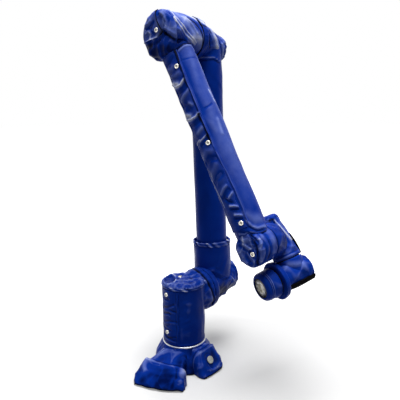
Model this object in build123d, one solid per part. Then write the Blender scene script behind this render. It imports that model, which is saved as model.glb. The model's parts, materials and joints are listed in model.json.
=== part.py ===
from build123d import *
from math import cos, radians, sin
import os

# Six-axis robot arm in a fitted protective jacket, standing on the floor. Z is up, the origin is on
# the floor at the turning axis of the base, and the shoulder, elbow and first wrist turn about lines
# along X. Every length is in millimetres and every angle in degrees.

# Fits
seat = 0.3                      # between pieces that meet, and across each turning joint
running_gap = 6.0               # round a turning cover, where the cover beside it is cut back
overrun = 5.0                   # how far a cut passes the face that it starts from

# The arm's lines
shoulder_height = 250.0         # shoulder axis above the floor
upper_arm_offset = 172.0        # base axis to the upper arm's plane
upper_arm_length = 900.0        # shoulder axis to elbow axis
upper_arm_tilt_angle = 2.0      # from upright, towards +Y
elbow_return = 176.0            # upper arm's plane back to the forearm's plane
forearm_length = 735.0          # elbow axis to first wrist axis
forearm_lean_angle = 28.1       # from straight down, towards -Y
wrist_offset = 121.0            # forearm's plane to the second wrist axis
wrist_lean_angle = 30.0         # second wrist axis, from straight down, towards -Y
wrist_drop = 124.0              # first wrist axis to third wrist axis
tool_turn_angle = 25.0          # third wrist axis, about the second from -X towards +Y
tool_reach = 131.0              # second wrist axis to the tool flange's face

# Base casting, its bolts and its joint ring
flange_radius = 95.0
flange_thickness = 12.0
flange_round = 3.0
bolt_circle_diameter = 170.0
bolt_hole_diameter = 8.5
bolt_count = 4
column_radius = 73.0
base_joint_height = 90.0
base_ring_radius = 79.0
base_ring_thickness = 6.0
base_ring_round = 2.0

# Skirt round the base
skirt_thickness = 3.0
skirt_hip_radius = 104.0
skirt_hip_height = 44.0
skirt_hem_radius = 112.0
skirt_hem_height = 2.0

# Front boot: a wide arched sleeve of the skirt that spreads on the floor, with its mouth cut askew
front_boot_turn_angle = 194.5   # direction from the base axis, about Z from +X
front_boot_root = 60.0          # from the base axis, inside the skirt
front_boot_root_width = 120.0
front_boot_root_drop = 12.0     # its top below the base joint
front_boot_root_round = 40.0
front_boot_seam = 146.0
front_boot_seam_width = 164.0
front_boot_seam_drop = 24.0
front_boot_seam_round = 34.0
front_boot_reach = 202.0
front_boot_lip_width = 172.0
front_boot_mouth_width = 152.0
front_boot_mouth_height = 30.0
front_boot_mouth_round = 24.0
front_boot_skew_angle = 9.0

# Side boot, with its round port
side_boot_turn_angle = 268.0
side_boot_root = 60.0
side_boot_root_width = 92.0
side_boot_root_drop = 11.0
side_boot_root_round = 30.0
side_boot_seam = 104.0
side_boot_seam_width = 104.0
side_boot_seam_drop = 12.0
side_boot_seam_round = 24.0
side_boot_reach = 145.0
side_boot_lip_width = 110.0
side_boot_mouth_width = 80.0
side_boot_mouth_height = 12.0
side_boot_mouth_round = 9.0
side_boot_skew_angle = 0.0
boot_lip_share = 0.7            # of the way from seam to mouth, where a boot is widest
port_rim_radius = 13.0
port_plug_radius = 9.0
port_height = 4.0
port_recess = 1.5
port_round = 1.2
port_rise_share = 0.5           # up the side boot's sloping face

# Shoulder cover
shoulder_radius = 76.0
shoulder_rise = 53.0            # cover's top above the shoulder axis
shoulder_hem_round = 3.0
cap_thickness = 12.0
cap_round = 9.0
cap_hem_height = 12.0
cap_hem_thickness = 3.5
cap_hem_round = 1.6
cap_hem_drop = 8.0              # from the cap's seam down to the hem's lower edge
shoulder_neck_root_radius = 60.0
shoulder_neck_radius = 79.5
shoulder_joint_at = 90.0        # along X from the base axis

# Joint rings, set in from the covers beside them
ring_thickness = 4.0
ring_inset = 6.0

# Upper arm's covers
shoulder_band_radius = 80.0
shoulder_band_width = 28.0
shoulder_band_round = 5.0
shoulder_cover_radius = 70.0
shoulder_cover_end = 74.0       # past the upper arm's plane, along X
shoulder_lid_radius = 61.0
shoulder_lid_shift = 15.0       # lid's centre above the shoulder axis
shoulder_lid_depth = 22.0
shoulder_lid_round = 18.0
cuff_radius = 70.5
cuff_start = 25.0               # along the upper arm from the shoulder axis
cuff_end = 161.0
cuff_hem_height = 15.0
cuff_hem_radius = 73.0
cuff_hem_round = 5.0
upper_sleeve_radius = 58.0
elbow_joint_at = 87.0           # along X from the forearm's plane
elbow_band_radius = 71.0
elbow_band_width = 30.0
elbow_band_round = 4.0
elbow_far_radius = 62.0
elbow_far_end = 52.0            # past the upper arm's plane, along X
elbow_far_lid_radius = 50.0
elbow_far_lid_shift = -22.0     # lid's centre below the elbow axis, where the cover sags
elbow_far_lid_depth = 22.0
elbow_far_lid_round = 18.0

# Forearm's covers
elbow_cover_radius = 72.0
elbow_cover_lid_radius = 75.0   # the cover widens towards its lid
elbow_cover_end = 43.0          # from the forearm's plane towards -X
elbow_lid_depth = 14.0
elbow_lid_inset = 1.0
elbow_lid_round = 11.0
forearm_radius = 52.0
forearm_start = 20.0
forearm_end_gap = 60.0          # from the sleeve's hem to the first wrist axis
forearm_neck_radius = 46.0
wrist_1_radius = 58.0
wrist_1_lid_radius = 53.0       # the cover narrows towards its lid
wrist_1_end = 34.0              # from the forearm's plane towards -X
wrist_1_lid_depth = 14.0
wrist_1_lid_inset = 1.0
wrist_1_lid_round = 12.0
wrist_1_joint_at = 32.0         # from the forearm's plane towards +X

# Wrist covers
wrist_2_neck_radius = 57.0
wrist_2_neck_end = 87.0         # from the forearm's plane towards +X
wrist_2_stub_radius = 32.0      # from the neck into the cover
wrist_2_radius = 46.0
wrist_2_lid_radius = 31.0       # the cover narrows towards its lid
wrist_2_end = 60.0              # up from the first wrist axis
wrist_2_joint_at = 78.0         # down from the first wrist axis
wrist_2_lid_depth = 17.0
wrist_2_lid_inset = 1.0
wrist_2_lid_round = 11.0
wrist_3_neck_radius = 46.0
wrist_3_radius = 44.0
wrist_3_end = 43.0              # from the second wrist axis away from the tool
wrist_3_tool_end = 58.0         # and towards it
wrist_3_lid_depth = 14.0
wrist_3_lid_inset = 1.0
wrist_3_lid_round = 12.0
wrist_3_cuff_radius = 60.0
wrist_3_cuff_round = 5.0
wrist_3_joint_at = 80.0         # from the second wrist axis towards the tool
wrist_3_ring_radius = 42.0

# Tool flange and the sleeve round it
flange_sleeve_radius = 47.0
flange_sleeve_mouth_radius = 44.0
flange_sleeve_round = 5.0
flange_sleeve_inset = 2.0       # behind the tool flange's face
tool_flange_radius = 31.5
tool_flange_round = 1.0
tool_bolt_circle_diameter = 50.0
tool_bolt_hole_diameter = 5.0
tool_bolt_depth = 12.0
tool_bolt_count = 4
tool_pilot_diameter = 31.5
tool_pilot_depth = 6.0
tool_pin_diameter = 6.0
tool_pin_depth = 8.0

# Overlapped closing strips with their snaps, and the edge tapes of the wrist
strip_thickness = 2.5
shoulder_strip_from_angle = 155.0   # about the base axis from +X
shoulder_strip_to_angle = 208.0
shoulder_strip_margin = 4.0     # from the hem at each end
forearm_strip_from_angle = 153.0    # about the forearm from +X
forearm_strip_to_angle = 207.0
forearm_strip_start = 80.0      # along the forearm from the elbow axis
forearm_strip_margin = 4.0      # from the sleeve's hem
tape_thickness = 3.0
tape_angle = 14.0
wrist_2_tape_angle = 45.0       # about the second wrist axis from +X
wrist_2_tape_start = 2.0
wrist_3_tape_angle = 40.0       # about the third wrist axis from straight down
snap_radius = 7.5
snap_height = 4.0
snap_round = 2.4
shoulder_snap_angle = 174.0     # about the base axis from +X
shoulder_low_snap_rise = 47.5   # above the base joint
shoulder_high_snap_drop = 24.5  # below the cap's seam
cap_snap_x = 7.0
cap_snap_y = 22.0
forearm_snap_angle = 163.0      # about the forearm from +X
forearm_snap_count = 3
forearm_first_snap = 128.0      # along the forearm from the elbow axis
forearm_last_snap_gap = 80.0    # from the last snap to the first wrist axis
elbow_lid_snap_y = 2.0          # from the lid's centre
elbow_lid_snap_z = 10.0
wrist_1_lid_snap_y = -16.0
wrist_1_lid_snap_z = -12.0

# Directions and points that follow from those lengths
along_x = Vector(1, 0, 0)
along_y = Vector(0, 1, 0)


def hanging(lean):
    # Unit direction that hangs down, leaning towards -Y
    return Vector(0, -sin(radians(lean)), -cos(radians(lean)))


upper_direction = Vector(0, sin(radians(upper_arm_tilt_angle)), cos(radians(upper_arm_tilt_angle)))
forearm_direction = hanging(forearm_lean_angle)
wrist_direction = hanging(wrist_lean_angle)
across_wrist = along_x.cross(wrist_direction)
tool_direction = along_x * -cos(radians(tool_turn_angle)) + across_wrist * sin(radians(tool_turn_angle))
shoulder_point = Vector(upper_arm_offset, 0, shoulder_height)
elbow_far_point = shoulder_point + upper_direction * upper_arm_length
elbow_point = elbow_far_point - along_x * elbow_return
wrist_1_point = elbow_point + forearm_direction * forearm_length
wrist_2_point = wrist_1_point + along_x * wrist_offset
wrist_3_point = wrist_2_point + wrist_direction * wrist_drop

# A frame for each axis: Z runs along the piece
shoulder_axis = Plane((0, 0, shoulder_height), x_dir=along_y, z_dir=along_x)
upper_axis = Plane(shoulder_point, x_dir=along_x, z_dir=upper_direction)
elbow_far_axis = Plane(elbow_far_point, x_dir=along_y, z_dir=along_x)
elbow_axis = Plane(elbow_point, x_dir=along_y, z_dir=along_x)
forearm_axis = Plane(elbow_point, x_dir=along_x, z_dir=forearm_direction)
wrist_1_axis = Plane(wrist_1_point, x_dir=along_y, z_dir=along_x)
wrist_2_axis = Plane(wrist_2_point, x_dir=along_x, z_dir=wrist_direction)
tool_axis = Plane(wrist_3_point, x_dir=wrist_direction, z_dir=tool_direction)


def turned(frame, corners, arc=360.0, start=0.0):
    # Solid turned about the frame's Z axis from corners of (radius, height, rounding)
    outline = make_face(Polyline(*[(radius, height) for radius, height, _ in corners], close=True))
    for radius, height, rounding in corners:
        if rounding:
            corner = outline.vertices().sort_by_distance((radius, height, 0))[0]
            outline = fillet(corner, rounding)
    solid = revolve(Plane.XZ * outline, Axis.Z, revolution_arc=arc)
    return frame.location * Rot(0, 0, start) * solid


def barrel(frame, start, end, radius, end_radius=None, start_round=0, end_round=0, grow=0):
    # Closed round cover between two heights; grow makes the cutter that leaves a seat round it
    last_radius = radius if end_radius is None else end_radius
    corners = [
        (0, start - grow, 0),
        (radius + grow, start - grow, start_round),
        (last_radius + grow, end + grow, end_round),
        (0, end + grow, 0),
    ]
    return turned(frame, corners)


def sagging(frame, start, end, radius, end_radius, shift, grow=0):
    # Cover whose far circle is smaller and shifted along the frame's Y, ruled between the two circles
    near = frame.location * Pos(0, 0, start - grow) * Circle(radius + grow)
    far = frame.location * Pos(0, shift, end + grow) * Circle(end_radius + grow)
    return loft([near, far], ruled=True)


def hoop(frame, start, end, inner, thickness, rounding=0, arc=360.0, turn=0.0, end_inner=None):
    # Ring, or part of one, on a round or tapered cover, with its outer edges rounded
    last_inner = inner if end_inner is None else end_inner
    corners = [
        (inner, start, 0),
        (inner + thickness, start, rounding),
        (last_inner + thickness, end, rounding),
        (last_inner, end, 0),
    ]
    return turned(frame, corners, arc, turn)


def snap(frame):
    # One snap fastener, standing on the frame's plane
    return barrel(frame, seat, seat + snap_height, snap_radius, end_round=snap_round)


def on_round(frame, turn, height, radius):
    # Plane that stands on a round cover, facing outwards
    outwards = Vector(cos(radians(turn)), sin(radians(turn)), 0)
    place = outwards * radius + Vector(0, 0, height)
    return Plane(
        frame.from_local_coords(place),
        x_dir=frame.z_dir,
        z_dir=frame.from_local_coords(outwards) - frame.origin,
    )


nodes = {}

# Base casting with its flange, and the bright ring of the base joint
housing = turned(Plane.XY, [
    (0, 0, 0),
    (flange_radius, 0, 0),
    (flange_radius, flange_thickness, flange_round),
    (column_radius, flange_thickness, flange_round),
    (column_radius, base_joint_height - base_ring_thickness, 0),
    (0, base_joint_height - base_ring_thickness, 0),
])
bolt_cut = Pos(0, 0, flange_thickness / 2) * Cylinder(bolt_hole_diameter / 2, flange_thickness + 2 * overrun)
bolt_cuts = PolarLocations(bolt_circle_diameter / 2, bolt_count, 180 / bolt_count) * bolt_cut
nodes["base_housing"] = housing - bolt_cuts
nodes["base_ring"] = barrel(
    Plane.XY, base_joint_height - base_ring_thickness, base_joint_height, base_ring_radius,
    start_round=base_ring_round, end_round=base_ring_round)

# Skirt: a thin flared shell that hangs from under the ring
skirt_top = base_joint_height - base_ring_thickness - seat
skirt_waist_radius = column_radius + seat + skirt_thickness


def skirt_profile(wall):
    # Outer line of the skirt, drawn in by a wall
    return [
        (skirt_waist_radius - wall, skirt_top, 0),
        (skirt_hip_radius - wall, skirt_hip_height, 0),
        (skirt_hem_radius - wall, skirt_hem_height, 0),
    ]


def skirt_envelope():
    # The space that the skirt takes up, with a seat round it
    rim = skirt_profile(-seat)
    top_radius, top_height, _ = rim[0]
    hem_radius, _, _ = rim[-1]
    return turned(Plane.XY, [
        (0, top_height + overrun, 0),
        (top_radius, top_height + overrun, 0),
        *rim,
        (hem_radius, -overrun, 0),
        (0, -overrun, 0),
    ])


nodes["base_skirt"] = turned(Plane.XY, skirt_profile(0) + skirt_profile(skirt_thickness)[::-1])


def arch(turn, skew, reach, width, height, rounding):
    # Upright section of a boot, square at the floor and rounded at the top
    section = make_face(Polyline(
        (-width / 2, 0),
        (width / 2, 0),
        (width / 2, height - skirt_hem_height),
        (-width / 2, height - skirt_hem_height),
        close=True))
    section = fillet(section.vertices().group_by(Axis.Y)[-1], rounding)
    stand = Plane((reach, 0, skirt_hem_height), x_dir=along_y, z_dir=along_x)
    return Rot(0, 0, turn) * stand.location * Rot(0, skew, 0) * section


def boot(turn, skew, root, seam, lip_width, mouth):
    # Sleeve ruled through its root, seam, lip and mouth, outside the skirt; lip and mouth are cut askew
    lip = [low + (high - low) * boot_lip_share for low, high in zip(seam, mouth)]
    lip[1] = lip_width
    sections = [arch(turn, 0, *root), arch(turn, 0, *seam), arch(turn, skew, *lip), arch(turn, skew, *mouth)]
    return loft(sections, ruled=True) - skirt_envelope()


front_boot_top = base_joint_height - front_boot_root_drop
front_boot_knee = base_joint_height - front_boot_seam_drop
front_boot = boot(
    front_boot_turn_angle, front_boot_skew_angle,
    (front_boot_root, front_boot_root_width, front_boot_top, front_boot_root_round),
    (front_boot_seam, front_boot_seam_width, front_boot_knee, front_boot_seam_round),
    front_boot_lip_width,
    (front_boot_reach, front_boot_mouth_width, front_boot_mouth_height, front_boot_mouth_round))
side_boot_top = base_joint_height - side_boot_root_drop
side_boot_knee = base_joint_height - side_boot_seam_drop
side_boot = boot(
    side_boot_turn_angle, side_boot_skew_angle,
    (side_boot_root, side_boot_root_width, side_boot_top, side_boot_root_round),
    (side_boot_seam, side_boot_seam_width, side_boot_knee, side_boot_seam_round),
    side_boot_lip_width,
    (side_boot_reach, side_boot_mouth_width, side_boot_mouth_height, side_boot_mouth_round))
nodes["front_boot"] = front_boot
nodes["side_boot"] = side_boot - front_boot

# Round port on the side boot's sloping face
slope_low = Vector(side_boot_reach, 0, side_boot_mouth_height)
slope_high = Vector(side_boot_seam, 0, side_boot_knee)
slope = (slope_high - slope_low).normalized()
port_place = slope_low + (slope_high - slope_low) * port_rise_share
port_frame = Plane(port_place, x_dir=slope, z_dir=along_y.cross(slope))
port_top = seat + port_height
port = barrel(port_frame, seat, port_top, port_rim_radius, end_round=port_round)
port_cut = barrel(port_frame, port_top - port_recess, port_top + overrun, port_plug_radius)
nodes["side_port"] = Rot(0, 0, side_boot_turn_angle) * (port - port_cut)

# Shoulder: upright cover, cap with its hem, and the neck that leads to the shoulder joint
shoulder_start = base_joint_height + seat
shoulder_top = shoulder_height + shoulder_rise
nodes["shoulder_cover"] = barrel(
    Plane.XY, shoulder_start, shoulder_top, shoulder_radius, start_round=shoulder_hem_round)
cap_seam = shoulder_top + seat
cap_top = cap_seam + cap_thickness
nodes["shoulder_cap"] = barrel(Plane.XY, cap_seam, cap_top, shoulder_radius, end_round=cap_round)
cap_hem_start = cap_seam - cap_hem_drop


def cap_hem(grow):
    return hoop(
        Plane.XY, cap_hem_start - grow, cap_hem_start + cap_hem_height + grow,
        shoulder_radius + seat - grow, cap_hem_thickness + 2 * grow, cap_hem_round)


shoulder_neck_end = shoulder_joint_at - ring_thickness
neck = barrel(shoulder_axis, 0, shoulder_neck_end, shoulder_neck_root_radius, shoulder_neck_radius)
neck = neck - barrel(Plane.XY, shoulder_start, shoulder_top, shoulder_radius, grow=seat)
neck = neck - barrel(Plane.XY, cap_seam, cap_top, shoulder_radius, end_round=cap_round, grow=seat)
nodes["shoulder_neck"] = neck - cap_hem(seat)
nodes["shoulder_cap_hem"] = cap_hem(0) - barrel(
    shoulder_axis, 0, shoulder_neck_end, shoulder_neck_root_radius, shoulder_neck_radius, grow=seat)
nodes["shoulder_ring"] = barrel(
    shoulder_axis, shoulder_neck_end, shoulder_joint_at, shoulder_neck_radius - ring_inset)

# Shoulder's closing strip and snaps
strip_inner = shoulder_radius + seat
nodes["shoulder_strip"] = hoop(
    Plane.XY, shoulder_start + shoulder_strip_margin, cap_hem_start - shoulder_strip_margin,
    strip_inner, strip_thickness,
    arc=shoulder_strip_to_angle - shoulder_strip_from_angle, turn=shoulder_strip_from_angle)
shoulder_snaps = [
    snap(on_round(Plane.XY, shoulder_snap_angle, height, strip_inner + strip_thickness))
    for height in (base_joint_height + shoulder_low_snap_rise, cap_seam - shoulder_high_snap_drop)
]
shoulder_snaps.append(snap(Plane((cap_snap_x, cap_snap_y, cap_top))))
nodes["shoulder_snaps"] = Compound(shoulder_snaps)

# Upper arm: band, cover and lid round the shoulder joint
band_start = shoulder_joint_at + seat
band_end = band_start + shoulder_band_width
cover_start = band_end + seat
cover_end = upper_arm_offset + shoulder_cover_end
lid_start = cover_end + seat
lid_end = lid_start + shoulder_lid_depth
shoulder_lid_axis = Plane(
    (0, 0, shoulder_height + shoulder_lid_shift), x_dir=along_y, z_dir=along_x)


def shoulder_joint_covers(grow):
    # Band, cover and lid in their order along X
    return [
        barrel(shoulder_axis, band_start, band_end, shoulder_band_radius,
               end_round=shoulder_band_round, grow=grow),
        sagging(shoulder_axis, cover_start, cover_end, shoulder_cover_radius, shoulder_lid_radius,
                shoulder_lid_shift, grow=grow),
        barrel(shoulder_lid_axis, lid_start, lid_end, shoulder_lid_radius,
               end_round=shoulder_lid_round, grow=grow),
    ]


band, cover, lid = shoulder_joint_covers(0)
nodes["shoulder_joint_band"] = band
nodes["shoulder_joint_cover"] = cover
nodes["shoulder_joint_lid"] = lid
cuff = barrel(upper_axis, cuff_start, cuff_end, cuff_radius)
nodes["upper_arm_cuff"] = cuff - shoulder_joint_covers(seat)
nodes["upper_arm_cuff_hem"] = hoop(
    upper_axis, cuff_end + seat, cuff_end + seat + cuff_hem_height,
    upper_sleeve_radius + seat, cuff_hem_radius - upper_sleeve_radius - seat, cuff_hem_round)

# Upper arm: sleeve, and the covers at its elbow end
elbow_joint_x = elbow_joint_at - elbow_return
far_band_end = elbow_joint_x + seat + elbow_band_width
far_lid_start = elbow_far_end + seat
elbow_far_lid_axis = Plane(
    elbow_far_point + Vector(0, 0, elbow_far_lid_shift), x_dir=along_y, z_dir=along_x)


def elbow_far_covers(grow):
    # Band, cover and lid in their order along X
    return [
        barrel(elbow_far_axis, elbow_joint_x + seat, far_band_end, elbow_band_radius,
               end_round=elbow_band_round, grow=grow),
        sagging(elbow_far_axis, far_band_end + seat, elbow_far_end, elbow_far_radius,
                elbow_far_lid_radius, elbow_far_lid_shift, grow=grow),
        barrel(elbow_far_lid_axis, far_lid_start, far_lid_start + elbow_far_lid_depth,
               elbow_far_lid_radius, end_round=elbow_far_lid_round, grow=grow),
    ]


band, cover, lid = elbow_far_covers(0)
nodes["elbow_far_band"] = band
nodes["elbow_far_cover"] = cover
nodes["elbow_far_lid"] = lid
sleeve = barrel(upper_axis, cuff_end + seat, upper_arm_length, upper_sleeve_radius)
sleeve = sleeve - elbow_far_covers(seat)
nodes["upper_arm_sleeve"] = sleeve.solids().sort_by(SortBy.VOLUME)[-1]

# Forearm: ring, cover and lid at the elbow
elbow_cover_top = elbow_joint_at - ring_thickness
elbow_lid_end = -elbow_cover_end - seat - elbow_lid_depth


def elbow_covers(grow):
    # Cover and lid along X
    return [
        barrel(elbow_axis, -elbow_cover_end, elbow_cover_top, elbow_cover_lid_radius, elbow_cover_radius,
               grow=grow),
        barrel(elbow_axis, elbow_lid_end, -elbow_cover_end - seat, elbow_cover_lid_radius - elbow_lid_inset,
               start_round=elbow_lid_round, grow=grow),
    ]


cover, lid = elbow_covers(0)
nodes["elbow_ring"] = barrel(
    elbow_axis, elbow_cover_top, elbow_joint_at, elbow_cover_radius - ring_inset)
nodes["elbow_cover"] = cover
nodes["elbow_lid"] = lid

# Forearm: sleeve, neck and the covers of the first wrist
forearm_end = forearm_length - forearm_end_gap
wrist_1_cover_top = wrist_1_joint_at - ring_thickness
wrist_1_lid_end = -wrist_1_end - seat - wrist_1_lid_depth


def wrist_1_covers(grow):
    # Cover, lid and ring along X
    return [
        barrel(wrist_1_axis, -wrist_1_end, wrist_1_cover_top, wrist_1_lid_radius, wrist_1_radius, grow=grow),
        barrel(wrist_1_axis, wrist_1_lid_end, -wrist_1_end - seat, wrist_1_lid_radius - wrist_1_lid_inset,
               start_round=wrist_1_lid_round, grow=grow),
        barrel(wrist_1_axis, wrist_1_cover_top, wrist_1_joint_at, wrist_1_radius - ring_inset, grow=grow),
    ]


wrist_cover, wrist_lid, wrist_ring = wrist_1_covers(0)
nodes["wrist_1_cover"] = wrist_cover
nodes["wrist_1_lid"] = wrist_lid
nodes["wrist_1_ring"] = wrist_ring
turning_room = barrel(
    wrist_1_axis, wrist_1_joint_at - seat, forearm_radius + overrun, wrist_2_neck_radius + running_gap)
sleeve = barrel(forearm_axis, forearm_start, forearm_end, forearm_radius)
nodes["forearm_sleeve"] = sleeve - [turning_room, *elbow_covers(seat)]
neck = barrel(forearm_axis, forearm_end + seat, forearm_length, forearm_neck_radius)
neck = neck - [turning_room, *wrist_1_covers(seat)]
nodes["forearm_neck"] = neck.solids().sort_by(SortBy.VOLUME)[-1]

# Forearm's closing strip and all its snaps
strip_inner = forearm_radius + seat
nodes["forearm_strip"] = hoop(
    forearm_axis, forearm_strip_start, forearm_end - forearm_strip_margin, strip_inner, strip_thickness,
    arc=forearm_strip_to_angle - forearm_strip_from_angle, turn=forearm_strip_from_angle)
snap_pitch = (forearm_length - forearm_last_snap_gap - forearm_first_snap) / (forearm_snap_count - 1)
forearm_snaps = [
    snap(on_round(forearm_axis, forearm_snap_angle, forearm_first_snap + turn * snap_pitch,
                  strip_inner + strip_thickness))
    for turn in range(forearm_snap_count)
]
for centre, lid_end, sideways, upwards in (
    (elbow_point, elbow_lid_end, elbow_lid_snap_y, elbow_lid_snap_z),
    (wrist_1_point, wrist_1_lid_end, wrist_1_lid_snap_y, wrist_1_lid_snap_z),
):
    place = centre + Vector(lid_end, sideways, upwards)
    forearm_snaps.append(snap(Plane(place, x_dir=along_y, z_dir=-along_x)))
nodes["forearm_snaps"] = Compound(forearm_snaps)

# Second wrist: neck from the first wrist joint, cover, lid and ring
wrist_2_cover_end = wrist_2_joint_at - ring_thickness


def wrist_2_cover(grow):
    return barrel(
        wrist_2_axis, -wrist_2_end, wrist_2_cover_end, wrist_2_lid_radius, wrist_2_radius, grow=grow)


wrist_2_lid = barrel(
    wrist_2_axis, -wrist_2_end - seat - wrist_2_lid_depth, -wrist_2_end - seat,
    wrist_2_lid_radius - wrist_2_lid_inset, start_round=wrist_2_lid_round)
nodes["wrist_2_cover"] = wrist_2_cover(0)
nodes["wrist_2_lid"] = wrist_2_lid
nodes["wrist_2_ring"] = barrel(
    wrist_2_axis, wrist_2_cover_end, wrist_2_joint_at, wrist_2_radius - ring_inset)
neck = barrel(wrist_1_axis, wrist_1_joint_at + seat, wrist_2_neck_end, wrist_2_neck_radius)
neck = neck + barrel(wrist_1_axis, wrist_2_neck_end, wrist_offset, wrist_2_stub_radius)
nodes["wrist_2_neck"] = neck - wrist_2_cover(seat)
wrist_2_taper = (wrist_2_radius - wrist_2_lid_radius) / (wrist_2_cover_end + wrist_2_end)
nodes["wrist_2_tape"] = hoop(
    wrist_2_axis, wrist_2_tape_start, wrist_2_cover_end,
    wrist_2_lid_radius + wrist_2_taper * (wrist_2_tape_start + wrist_2_end) + seat, tape_thickness,
    arc=tape_angle, turn=wrist_2_tape_angle - tape_angle / 2, end_inner=wrist_2_radius + seat)

# Third wrist: neck from the second wrist joint, cover, lid, cuff and ring
wrist_3_cuff_end = wrist_3_joint_at - ring_thickness


def wrist_3_covers(grow):
    # Cover and lid along the third wrist axis
    return [
        barrel(tool_axis, -wrist_3_end, wrist_3_tool_end, wrist_3_radius, grow=grow),
        barrel(tool_axis, -wrist_3_end - seat - wrist_3_lid_depth, -wrist_3_end - seat,
               wrist_3_radius - wrist_3_lid_inset, start_round=wrist_3_lid_round, grow=grow),
    ]


cover, lid = wrist_3_covers(0)
nodes["wrist_3_cover"] = cover
nodes["wrist_3_lid"] = lid
neck = barrel(wrist_2_axis, wrist_2_joint_at + seat, wrist_drop, wrist_3_neck_radius)
nodes["wrist_3_neck"] = neck - wrist_3_covers(seat)
nodes["wrist_3_cuff"] = barrel(
    tool_axis, wrist_3_tool_end + seat, wrist_3_cuff_end, wrist_3_cuff_radius,
    start_round=wrist_3_cuff_round, end_round=wrist_3_cuff_round)
nodes["wrist_3_ring"] = barrel(
    tool_axis, wrist_3_cuff_end, wrist_3_joint_at, wrist_3_ring_radius)
nodes["wrist_3_tape"] = hoop(
    tool_axis, -wrist_3_end, wrist_3_tool_end, wrist_3_radius + seat, tape_thickness,
    arc=tape_angle, turn=wrist_3_tape_angle - tape_angle / 2)

# Tool flange with its bolt circle, pilot and pin hole, and the sleeve round it
flange_start = wrist_3_joint_at + seat
tool_flange = barrel(tool_axis, flange_start, tool_reach, tool_flange_radius, end_round=tool_flange_round)


def face_hole(diameter, depth):
    # Blind hole in from the tool flange's face
    return Pos(0, 0, tool_reach + overrun - (depth + overrun) / 2) * Cylinder(diameter / 2, depth + overrun)


bolt_places = PolarLocations(tool_bolt_circle_diameter / 2, tool_bolt_count, 180 / tool_bolt_count)
holes = bolt_places * face_hole(tool_bolt_hole_diameter, tool_bolt_depth)
holes.append(face_hole(tool_pilot_diameter, tool_pilot_depth))
holes.append(Pos(tool_bolt_circle_diameter / 2, 0, 0) * face_hole(tool_pin_diameter, tool_pin_depth))
nodes["tool_flange"] = tool_flange - [tool_axis.location * hole for hole in holes]
nodes["flange_sleeve"] = turned(tool_axis, [
    (tool_flange_radius + seat, flange_start, 0),
    (flange_sleeve_radius, flange_start, 0),
    (flange_sleeve_mouth_radius, tool_reach - flange_sleeve_inset, flange_sleeve_round),
    (tool_flange_radius + seat, tool_reach - flange_sleeve_inset, 0),
])

os.makedirs("parts", exist_ok=True)
for name, shape in nodes.items():
    export_step(shape, f"parts/{name}.step")
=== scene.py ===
import bpy
import json
import numpy as np
from mathutils import Matrix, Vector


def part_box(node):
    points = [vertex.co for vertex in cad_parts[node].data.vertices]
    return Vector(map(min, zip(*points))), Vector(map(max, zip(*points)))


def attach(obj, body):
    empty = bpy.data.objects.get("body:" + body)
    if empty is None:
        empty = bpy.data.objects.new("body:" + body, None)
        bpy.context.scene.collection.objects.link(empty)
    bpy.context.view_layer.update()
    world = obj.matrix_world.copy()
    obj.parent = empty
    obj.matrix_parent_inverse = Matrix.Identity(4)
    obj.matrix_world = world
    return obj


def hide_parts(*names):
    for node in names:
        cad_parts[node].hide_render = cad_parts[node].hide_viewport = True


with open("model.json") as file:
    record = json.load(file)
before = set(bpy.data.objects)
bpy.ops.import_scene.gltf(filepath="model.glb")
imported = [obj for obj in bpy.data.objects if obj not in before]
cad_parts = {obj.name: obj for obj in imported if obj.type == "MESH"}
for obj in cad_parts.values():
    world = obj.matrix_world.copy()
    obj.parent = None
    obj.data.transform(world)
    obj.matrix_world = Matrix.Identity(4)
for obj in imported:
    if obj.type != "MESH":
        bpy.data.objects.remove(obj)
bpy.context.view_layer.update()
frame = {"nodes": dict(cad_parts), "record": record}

mm = 0.001
full = 2 * np.pi
tiny = 1e-9
curveSteps = 9

# Lines of the arm, read from the frame's joints and boxes
jointPlace = {j["name"]: np.array(j["pos_m"]) for j in frame["record"]["behaviour"]["joints"]}
jointWay = {j["name"]: np.array(j["axis"]) for j in frame["record"]["behaviour"]["joints"]}


def unit(way):
    return np.array(way, float) / np.linalg.norm(way)


def axisFrame(origin, across, along):
    # origin with three unit ways; the third runs along the piece
    x = unit(across)
    z = unit(along)
    return {"o": np.array(origin, float), "x": x, "y": np.cross(z, x), "z": z}


def middleX(node):
    low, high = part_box(node)
    return (low[0] + high[0]) / 2


wayX, wayY, wayZ = np.eye(3)
upperX = middleX("upper_arm_cuff_hem")
forearmX = middleX("forearm_sleeve")
shoulderLift = jointPlace["shoulder_lift"]
elbowBend = jointPlace["elbow_bend"]
wristBend = jointPlace["wrist_bend"]
shoulderAt = np.array([upperX, *shoulderLift[1:]])
elbowFarAt = np.array([upperX, *elbowBend[1:]])
elbowAt = np.array([forearmX, *elbowBend[1:]])
wristOneAt = np.array([forearmX, *wristBend[1:]])
wristTwoAt = np.array([jointPlace["wrist_swing"][0], *wristBend[1:]])
toolWay = jointWay["flange_turn"]
toolStep = (wristTwoAt[0] - jointPlace["flange_turn"][0]) / toolWay[0]
wristThreeAt = jointPlace["flange_turn"] + toolWay * toolStep

baseAxis = axisFrame((0, 0, 0), wayX, wayZ)
shoulderAxis = axisFrame((0, *shoulderLift[1:]), wayY, wayX)
upperAxis = axisFrame(shoulderAt, wayX, elbowFarAt - shoulderAt)
elbowFarAxis = axisFrame(elbowFarAt, wayY, wayX)
elbowAxis = axisFrame(elbowAt, wayY, wayX)
forearmAxis = axisFrame(elbowAt, wayX, wristOneAt - elbowAt)
wristOneAxis = axisFrame(wristOneAt, wayY, wayX)
wristTwoAxis = axisFrame(wristTwoAt, wayX, jointWay["wrist_swing"])
toolAxis = axisFrame(wristThreeAt, jointWay["wrist_swing"], toolWay)
print("frame read:", len(frame["nodes"]), "nodes")


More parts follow.
